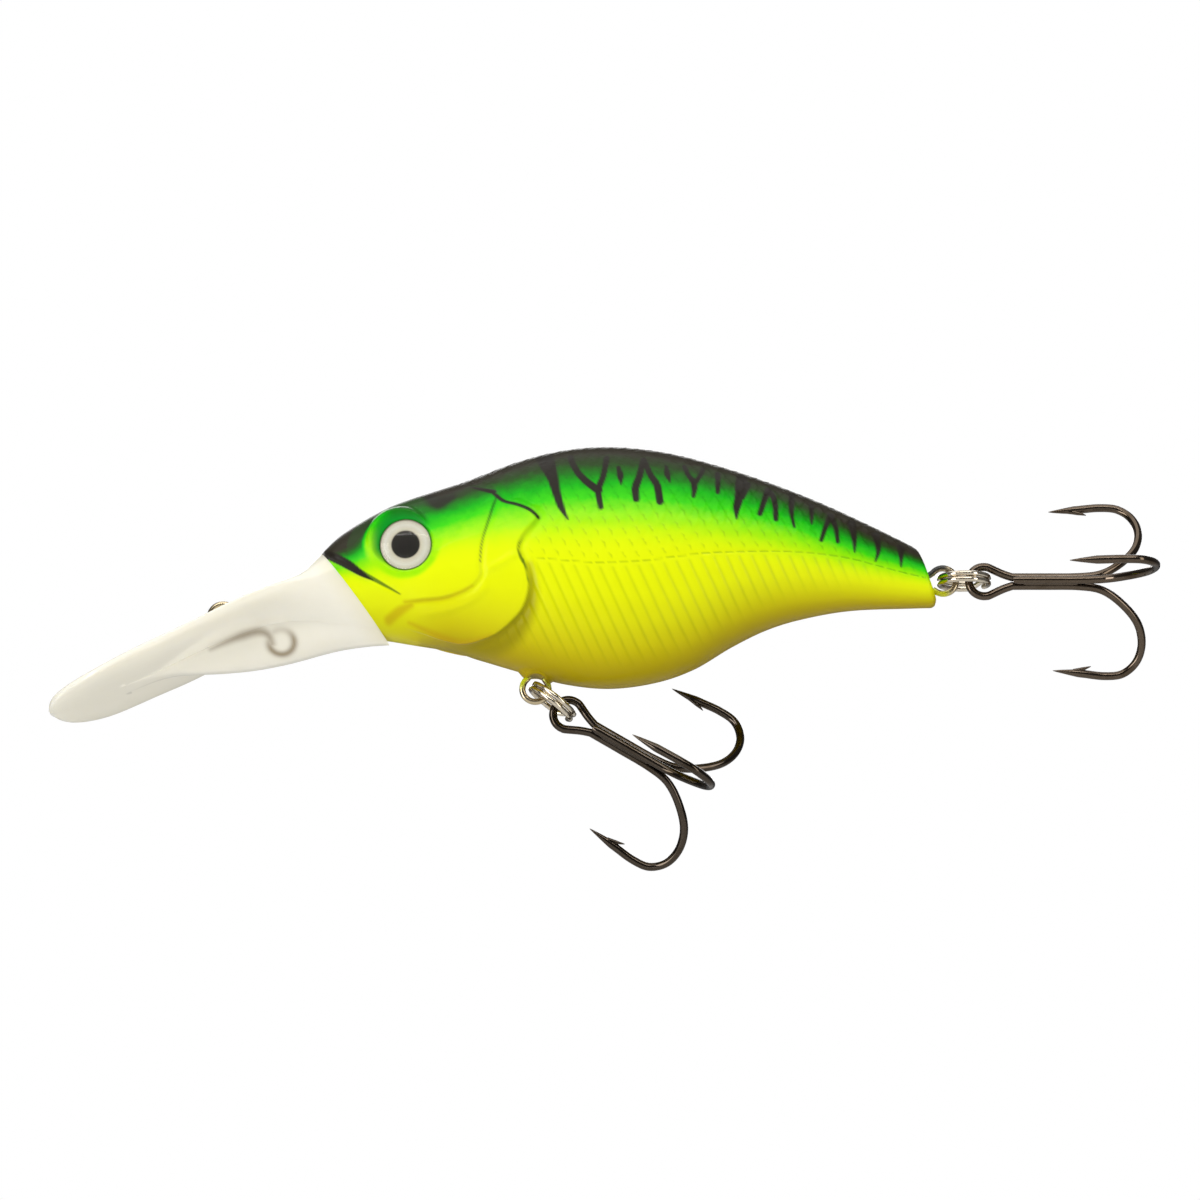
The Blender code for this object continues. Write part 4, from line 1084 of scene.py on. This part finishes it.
def buildRing(name, pivot, degrees, body, material, replaced):
    frameAt = chainFrame(pivot, degrees)
    path = []
    for k in range(splitRing["steps"]):
        share = k / (splitRing["steps"] - 1)
        turn = splitRing["startTurn"] + (splitRing["endTurn"] - splitRing["startTurn"]) * share
        step = ease((turn - splitRing["stepFrom"]) / splitRing["stepLong"])
        side = splitRing["pitch"] * (step - 0.5)
        angle = math.radians(turn + splitRing["phase"])
        mean = splitRing["mean"]
        path.append(frameAt @ Vector((mean * (1 + math.sin(angle)), mean * math.cos(angle), side)))
    bm = bmesh.new()
    sweepWire(bm, path, rounded(len(path), splitRing["wire"], 1), splitRing["sides"])
    return pieceFrom(name, bm, material, body, [replaced])


hook = {
    "wire": 0.5,
    "eyeRadius": 1.8,
    "offset": 0.61,  # from the hook's axis to each of its three shanks
    "eyeToShank": 3.4,
    "ringInEye": 0.5,
    "bellyTurn": -30.3,
    "tailTurn": 0.0,
    "prong": [  # one prong in its own plane: along the shank, out from the axis
        (0.0, 0.61), (4.0, 0.61), (8.0, 0.66), (10.8, 1.15), (13.2, 2.8), (15.2, 5.2), (15.9, 7.8),
        (15.4, 10.2), (13.8, 11.8), (11.6, 12.1), (9.0, 11.8), (6.8, 11.55), (5.3, 11.4),
    ],
    "pointLong": 3.2,
    "sides": 20,
    "barbRoot": (7.8, 11.46),
    "barbMiddle": (8.9, 11.2),
    "barbTip": (9.9, 10.86),
    "barbRadii": (0.28, 0.24, 0.04),
    "barbSides": 10,
    "prongTurn": 120.0,
    "loopFoot": (-1.2, 0.42),  # where the eye's two legs part: along, and how far outside the shanks
    "loopTurns": (70, 291, 10),
    "brazeFrom": 0.5,
    "brazeTo": 8.6,
    "brazeRadius": 0.64,
    "brazeSteps": 16,
    "brazeSides": 12,
}


def outward(turn):  # away from the hook's axis
    return Vector((0, -math.cos(math.radians(turn)), math.sin(math.radians(turn))))


def prongPath(frameAt, turn):
    flat = softPath([(s, r, 0.0) for s, r in hook["prong"]], 8)
    path = [frameAt @ (Vector((p.x, 0, 0)) + outward(turn) * p.y) for p in flat]
    radii = []
    for p in flat:
        share = (p - flat[-1]).length / hook["pointLong"]
        sharp = p.y > 11.0 and p.x < 10.0 and share < 1
        radii.append(hook["wire"] * (0.04 + 0.96 * share**0.8 if sharp else 1.0))
    return path, radii


def barbPath(frameAt, turn):
    knots = [hook[k] for k in ("barbRoot", "barbMiddle", "barbTip")]
    path = softPath([frameAt @ (Vector((s, 0, 0)) + outward(turn) * r) for s, r in knots], 5)
    return path, list(np.interp(np.linspace(0, 2, len(path)), (0, 1, 2), hook["barbRadii"]))


def wireObject(name, path, radii, sides):
    bm = bmesh.new()
    sweepWire(bm, path, radii, sides)
    faceOutwards(bm)
    return addToScene(name, meshFrom(name, bm))


def cutOrJoin(obj, tool, operation):  # one Boolean, applied
    change = obj.modifiers.new(operation.lower(), "BOOLEAN")
    change.operation = operation
    change.solver = "EXACT"
    change.object = tool
    graph = bpy.context.evaluated_depsgraph_get()
    mesh = bpy.data.meshes.new_from_object(obj.evaluated_get(graph), depsgraph=graph)
    obj.modifiers.clear()
    obj.data = mesh
    bpy.data.objects.remove(tool)


def takeMesh(obj):  # keep the mesh and drop its working object
    mesh = obj.data
    bpy.data.objects.remove(obj)
    return mesh


def hookPiece(name, path, radii, barbs, frameAt, body, material, replaced):
    obj = wireObject(name + "Work", path, radii, hook["sides"])
    for turn in barbs:
        barb = wireObject("barb", *barbPath(frameAt, turn), hook["barbSides"])
        cutOrJoin(obj, barb, "UNION")
    return addPiece(name, takeMesh(obj), material, body, [replaced], sharp=50.0)


def eyeOfHook(frameAt):  # from one shank round the eye to the other
    lift = hook["offset"] * 0.5
    high = hook["offset"] * math.sin(math.radians(hook["prongTurn"]))
    foot, wider = hook["loopFoot"]
    radius = hook["eyeRadius"]
    loop = []
    for degrees in range(*hook["loopTurns"]):
        t = math.radians(degrees)
        loop.append(Vector((-hook["eyeToShank"] + radius * math.cos(t), lift, radius * math.sin(t))))
    start = [Vector((0.0, lift, high)), Vector((foot, lift, high + wider))]
    end = [Vector((foot, lift, -high - wider)), Vector((0.0, lift, -high))]
    return [frameAt @ p for p in softPath(start + loop + end, 4)]


def buildTreble(name, node, pivot, ringTurn, turn, body, material):
    contact = chainFrame(pivot, ringTurn) @ Vector((2 * splitRing["mean"], 0, 0))
    shankAt = hook["eyeToShank"] - hook["ringInEye"]
    frameAt = chainFrame(contact, turn) @ Matrix.Translation((shankAt, 0, 0))
    side = hook["prongTurn"]
    up, upRadii = prongPath(frameAt, side)
    down, downRadii = prongPath(frameAt, -side)
    eyePath = eyeOfHook(frameAt)[1:-1]
    path = up[::-1] + eyePath + down
    radii = upRadii[::-1] + [hook["wire"]] * len(eyePath) + downRadii
    hookPiece(name + "Double", path, radii, (side, -side), frameAt, body, material, node + "_double")
    path, radii = prongPath(frameAt, 0.0)
    radii[0], radii[1] = hook["wire"] * 0.7, hook["wire"] * 0.9
    hookPiece(name + "Single", path, radii, (0.0,), frameAt, body, material, node + "_single")
    last, start, end = hook["brazeSteps"], hook["brazeFrom"], hook["brazeTo"]
    path = [frameAt @ Vector((start + (end - start) * k / last, 0, 0)) for k in range(last + 1)]
    radii = [hook["brazeRadius"] * min(1.0, 0.25 + 0.35 * min(k, last - k)) for k in range(last + 1)]
    bm = bmesh.new()
    sweepWire(bm, path, radii, hook["brazeSides"])
    pieceFrom(name + "Braze", bm, material, body, [])
    print("treble ready:", name)


# Lip: a thin spoon with a keel, moulded round the line-tie wire

lip = {
    "lengthSteps": 210,
    "topSteps": 84,
    "wingSteps": 26,
    "keelSteps": 76,
    "tip": -20.2,
    "jointGap": 0.02,
    "rearBetween": (6.0, 24.0),
    "tipCrowding": 0.55,  # rows lie closer together round the tip
    "keelFloor": [
        (-14.0, -9.0), (-10.0, -7.5), (-8.0, -7.1), (-6.0, -6.95), (-4.0, -6.95), (0.0, -6.8),
        (4.0, -6.4), (8.0, -5.6), (14.0, -4.0), (21.0, -2.95),
    ],
    "keelHalf": [
        (-14.0, 2.0), (-8.0, 2.2), (-4.0, 2.9), (2.0, 3.7), (10.0, 4.2), (16.0, 3.9), (21.0, 2.6),
    ],
    "keelPower": 2.8,
    "keelBlend": 1.5,
    "tongueLow": (14.0, -1.3, -1.2),
    "tongueHigh": (22.0, 1.3, 7.2),
    "pegAt": (18.9, 3.2),
    "tongueBevel": 0.3,
    "pegRadius": 1.45,
    "pegHalfLong": 5,
    "pegSides": 40,
    "shadeAt": (7.4, -3.0),  # where the wire inside shows through as a painted shadow
    "shadeLoop": 1.5,
    "shadeWide": 0.42,
    "shadeLeg": [(-1.0, -3.9), (1.8, -2.6), (4.5, -1.75), (5.8, -2.1), (6.3, -3.2)],
    "shadeLegHalf": (0.02, 0.22, 0.42, 0.42, 0.3),
    "shadeTurn": 112.0,  # painted shade: the loop is palest towards this turn and darkest opposite it
    "shadeReach": 6.5,
    "edgeShare": 0.82,
}


def lipPoint(x, column):  # over the top, then under one wing, the keel and the other wing
    wing, keel = lip["wingSteps"], lip["keelSteps"]
    power = formPower(x)
    wide, widest = readLine(form["halfWidth"], x), readLine(form["widest"], x)
    half = readLine(lip["keelHalf"], x)
    turn = math.pi * column / lip["topSteps"]
    left = (column - lip["topSteps"]) / wing
    right = (lip["topSteps"] + 2 * wing + keel - column) / wing
    reach = np.arccos(np.clip(half / wide, 0, 1) ** (power / 2))
    turn = np.where(left > 0, math.pi + reach * left, turn)
    turn = np.where(right < 1, 2 * math.pi - reach * right, turn)
    y, z = formPoint(x, turn)
    across = ((column - lip["topSteps"] - wing) / keel * 2 - 1) * math.pi / 2
    onKeel = np.abs(across) <= math.pi / 2
    across = np.clip(across, -math.pi / 2, math.pi / 2)
    share = 2 / lip["keelPower"]
    keelY = half * np.sign(across) * np.abs(np.sin(across)) ** share
    deep = widest - readLine(form["belly"], x)
    under = widest - deep * (1 - np.clip(np.abs(keelY) / wide, 0, 1) ** power) ** (1 / power)
    top = widest + 0.1
    keelZ = top - (top - readLine(lip["keelFloor"], x)) * np.clip(np.cos(across), 0, 1) ** share
    keelZ = -softMax(-under, -keelZ, lip["keelBlend"] * ease((x - lip["keelFloor"][0][0]) / 4))
    return np.where(onKeel, keelY, y), np.where(onKeel, keelZ, z)


def closeHoles(mesh):  # a union can drop slivers where faces lie close together
    bm = bmesh.new()
    bm.from_mesh(mesh)
    bmesh.ops.holes_fill(bm, edges=[e for e in bm.edges if e.is_boundary], sides=0)
    bm.to_mesh(mesh)
    bm.free()


def buildLip(material):
    steps = (lip["lengthSteps"], lip["topSteps"] + 2 * lip["wingSteps"] + lip["keelSteps"])
    bm = bmesh.new()
    bmesh.ops.create_grid(bm, x_segments=steps[0], y_segments=steps[1], size=0.5)
    mesh = bpy.data.meshes.new("divingLip")
    row, column = gridPlaces(bm, mesh, steps)
    bm.free()
    around = np.arange(steps[1] + 1)

    def heightAt(x):
        return lipPoint(x, around)[1]

    end = meetPlane(heightAt, len(around), form["nose"], form["chin"], *lip["rearBetween"])
    share = (np.arange(steps[0] + 1) / steps[0])[:, None]
    share = (1 - lip["tipCrowding"]) * share + lip["tipCrowding"] * share**2
    x = lip["tip"] + (end - lip["jointGap"] - lip["tip"]) * share
    y, z = lipPoint(x, np.broadcast_to(around, x.shape))
    place = np.stack([x, y, z], axis=-1)[row, column]
    mesh.vertices.foreach_set("co", place.astype(np.float32).ravel())
    bm = bmesh.new()
    bm.from_mesh(mesh)
    closeEnds(bm, row, steps[0], 0.0)
    bmesh.ops.remove_doubles(bm, verts=bm.verts, dist=1e-4)
    faceOutwards(bm)
    obj = addToScene("lipWork", meshFrom("divingLip", bm, mesh))
    cutOrJoin(obj, buildTongue(), "UNION")
    mesh = takeMesh(obj)
    closeHoles(mesh)
    obj = addPiece("divingLip", mesh, material, "lure", ["diving_lip"], sharp=50.0)
    paintLip(obj)


def buildTongue():  # the tab that the two shells close on, with the hole for their peg
    low, high = Vector(lip["tongueLow"]), Vector(lip["tongueHigh"])
    bm = bmesh.new()
    bmesh.ops.create_cube(bm, size=1.0)
    bmesh.ops.scale(bm, vec=high - low, verts=bm.verts)
    bmesh.ops.translate(bm, vec=(high + low) / 2, verts=bm.verts)
    bmesh.ops.bevel(bm, geom=bm.edges[:], offset=lip["tongueBevel"], affect="EDGES", segments=3,
                    profile=0.5, material=-1)
    tongue = addToScene("tongue", meshFrom("tongue", bm))
    x, z = lip["pegAt"]
    path = [(x, -lip["pegHalfLong"], z), (x, lip["pegHalfLong"], z)]
    peg = wireObject("peg", path, [lip["pegRadius"]] * 2, lip["pegSides"])
    cutOrJoin(tongue, peg, "DIFFERENCE")
    return tongue


def paintLip(obj):  # milky all over, with the moulded-in wire painted on as a soft shadow, shaded darkest on its lower right
    place = vertexPlaces(obj)
    x, z = place[:, 0], place[:, 2]
    out = np.abs(place[:, 1])
    seen = z + math.tan(math.radians(studio["below"])) * out  # height of what lies behind
    offsetX, offsetZ = x - lip["shadeAt"][0], seen - lip["shadeAt"][1]
    around = np.arctan2(offsetZ, offsetX)
    loop = hump(np.hypot(offsetX, offsetZ) - lip["shadeLoop"], lip["shadeWide"])
    loop = loop * (0.3 + 0.7 * ease(0.75 - 0.75 * np.cos(around - math.radians(lip["shadeTurn"]))))
    leg = stroke(x, seen, lip["shadeLeg"], lip["shadeLegHalf"], 1.1)
    inFront = ease((out - 0.5) / 1.0) * (out < lip["shadeReach"])
    setMask(obj, "wireShade", np.clip(np.maximum(loop, 0.85 * leg), 0, 1) * inFront)
    setMask(obj, "root", 0.6 * ease((x - planeAt(z, form["nose"], form["chin"]) + 3.2) / 3.0))
    edge = ease((out / readLine(form["halfWidth"], x) - lip["edgeShare"]) / (1 - lip["edgeShare"]))
    setMask(obj, "thin", 0.6 * edge * ease((8.0 - x) / 10.0))


# Eyes: a printed disc under a clear dome

eyePart = {
    "discThick": 0.3,
    "lensRim": 0.25,
    "lensHeight": 0.85,
    "lensGap": 0.04,
    "pupil": 1.66,
    "pupilSoft": 0.16,
    "steps": 96,
    "rows": 24,
    "pearl": [  # from the pupil to the rim
        (0.0, (214, 202, 176)), (0.12, (238, 232, 212)), (0.55, (250, 247, 236)), (0.88, (232, 226, 208)),
        (1.0, (150, 138, 112)),
    ],
    "pupilBlack": (30, 25, 20),
}


def spinSolid(profile, steps, axis, centre):  # a turned solid from (radius, height) points
    bm = bmesh.new()
    verts = [bm.verts.new((r, 0, h)) for r, h in profile]
    edges = [bm.edges.new(pair) for pair in zip(verts, verts[1:])]
    bmesh.ops.spin(bm, geom=verts + edges, cent=(0, 0, 0), axis=(0, 0, 1), angle=2 * math.pi,
                   steps=steps, use_merge=True)
    bmesh.ops.remove_doubles(bm, verts=bm.verts, dist=1e-5)
    turn = Vector((0, 0, 1)).rotation_difference(axis).to_matrix().to_4x4()
    bmesh.ops.transform(bm, matrix=Matrix.Translation(centre) @ turn, verts=bm.verts)
    return bm


def eyeAxis(side):
    return Vector((eye["axis"][0], side * eye["axis"][1], eye["axis"][2])).normalized()


def eyePlace(side, height):
    return Vector((eye["centre"][0], side * eye["centre"][1], eye["centre"][2])) + eyeAxis(side) * height


def buildDiscMaterial():
    tree, shader = newMaterial("pearlDisc", {"Roughness": 0.32, "Coat Weight": 0.3, "Coat Roughness": 0.05})
    grain = placeGroup(tree, speckleGroup, {"Mottle Size": 700.0, "Pebble Size": 6000.0, "Amount": 0.9})
    ring = addRamp(tree, readMask(tree, "fromPupil"), eyePart["pearl"])
    pearl = addMix(tree, grain.outputs["Mottle"], paint(226, 226, 226), paint(255, 255, 255))
    ring = addMix(tree, 0.5, ring, pearl, "MULTIPLY")
    colour = addMix(tree, readMask(tree, "pupil"), ring, paint(*eyePart["pupilBlack"]))
    tree.links.new(colour, shader.inputs["Base Color"])
    addBump(tree, shader, grain.outputs["Pebble"], 0.08, 0.00003)
    return bpy.data.materials["pearlDisc"]


def buildLensMaterial():
    tree, shader = newMaterial("clearDome", {
        "Base Color": (0.98, 0.98, 0.96, 1), "Roughness": 0.03, "IOR": 1.22, "Transmission Weight": 1.0,
    })
    grain = placeGroup(tree, speckleGroup, {"Mottle Size": 300.0, "Pebble Size": 900.0, "Amount": 0.5})
    addBump(tree, shader, grain.outputs["Pebble"], 0.03, 0.00004)
    return bpy.data.materials["clearDome"]


def buildEyes(discMaterial, lensMaterial):
    radius, thick, rows = eye["radius"], eyePart["discThick"], eyePart["rows"]
    disc = [(0, -thick), (radius - 0.05, -thick), (radius, -thick + 0.05), (radius, -0.05)]
    disc += [((radius - 0.05) * (1 - k / rows), 0.0) for k in range(rows + 1)]
    rim, top = eyePart["lensRim"], eyePart["lensHeight"]
    bow = (radius**2 + (top - rim) ** 2) / (2 * (top - rim))
    reach = math.asin((radius - 0.06) / bow)
    lens = [(0, 0), (radius - 0.04, 0), (radius, 0.04), (radius, rim - 0.03)]
    for k in range(rows + 1):
        t = reach * (1 - k / rows)
        lens.append((bow * math.sin(t), top - bow * (1 - math.cos(t))))
    for sideName, side in (("Left", -1), ("Right", 1)):
        axis, node = eyeAxis(side), sideName.lower()
        bm = spinSolid(disc, eyePart["steps"], axis, eyePlace(side, 0))
        obj = pieceFrom("eyeDisc" + sideName, bm, discMaterial, "lure", ["eye_disc_" + node])
        offset = vertexPlaces(obj) - np.array(eyePlace(side, 0))
        flat = offset - (offset @ np.array(axis))[:, None] * np.array(axis)
        past = np.sqrt((flat**2).sum(-1)) - eyePart["pupil"]
        setMask(obj, "pupil", ease(0.5 - past / eyePart["pupilSoft"]))
        setMask(obj, "fromPupil", np.clip(past / (radius - eyePart["pupil"]), 0, 1))
        bm = spinSolid(lens, eyePart["steps"], axis, eyePlace(side, eyePart["lensGap"]))
        pieceFrom("eyeLens" + sideName, bm, lensMaterial, "lure", ["eye_lens_" + node])
    print("eyes ready")


# Inside: a steel slug with eased ends, and three rattle balls

inside = {
    "weightRadius": 2.6,
    "weightEase": 0.35,
    "balls": [("Front", 33.0, 8.6, 2.0), ("Middle", 44.5, 12.0, 2.0), ("Rear", 56.0, 9.0, 1.75)],
}


def buildInside(ballMaterial, weightMaterial):
    low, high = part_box("ballast_weight")
    radius, rounding = inside["weightRadius"], inside["weightEase"]
    long = (high.x - low.x) / mm
    profile = [(0, 0), (radius - rounding, 0), (radius, rounding), (radius, long / 2 - 0.1),
               (radius + 0.03, long / 2), (radius, long / 2 + 0.1), (radius, long - rounding),
               (radius - rounding, long), (0.8, long), (0.0, long - 0.3)]
    centre = Vector((low.x / mm, 0, (low.z + high.z) / 2 / mm))
    bm = spinSolid(profile, 64, Vector((1, 0, 0)), centre)
    pieceFrom("ballastWeight", bm, weightMaterial, "lure", ["ballast_weight"])
    for name, x, z, radius in inside["balls"]:
        bm = bmesh.new()
        bmesh.ops.create_icosphere(bm, subdivisions=4, radius=radius)
        bmesh.ops.translate(bm, vec=(x, 0, z), verts=bm.verts)
        pieceFrom("rattleBall" + name, bm, ballMaterial, name.lower() + "_ball",
                  ["rattle_ball_" + name.lower()])
    print("inside ready")


def main():
    buildStudio()
    paintMaterial = buildPaintMaterial()
    place, masks = shapeShell()
    buildShell("shellLeft", -1, place, masks, paintMaterial, ["shell_left"])
    buildShell("shellRight", 1, place, masks, paintMaterial, ["shell_right"])
    buildLip(buildLipMaterial())
    buildHangers(buildMetal("bareWire"), buildSprayedWire("sprayedWire"))
    buildEyes(buildDiscMaterial(), buildLensMaterial())
    buildInside(buildMetal("ballSteel"), buildMetal("castWeight"))
    ringMaterial = buildMetal("nickelRing")
    for key in ("belly", "tail"):
        buildRing(key + "SplitRing", jointAt[key + "_ring_swing"], splitRing[key + "Turn"],
                  key + "_ring", ringMaterial, key + "_split_ring")
    for key, metal in (("belly", "blackNickel"), ("tail", "tailNickel")):
        buildTreble(key + "Treble", key + "_treble", jointAt[key + "_ring_swing"],
                    splitRing[key + "Turn"], hook[key + "Turn"], key + "_hook", buildMetal(metal))


main()
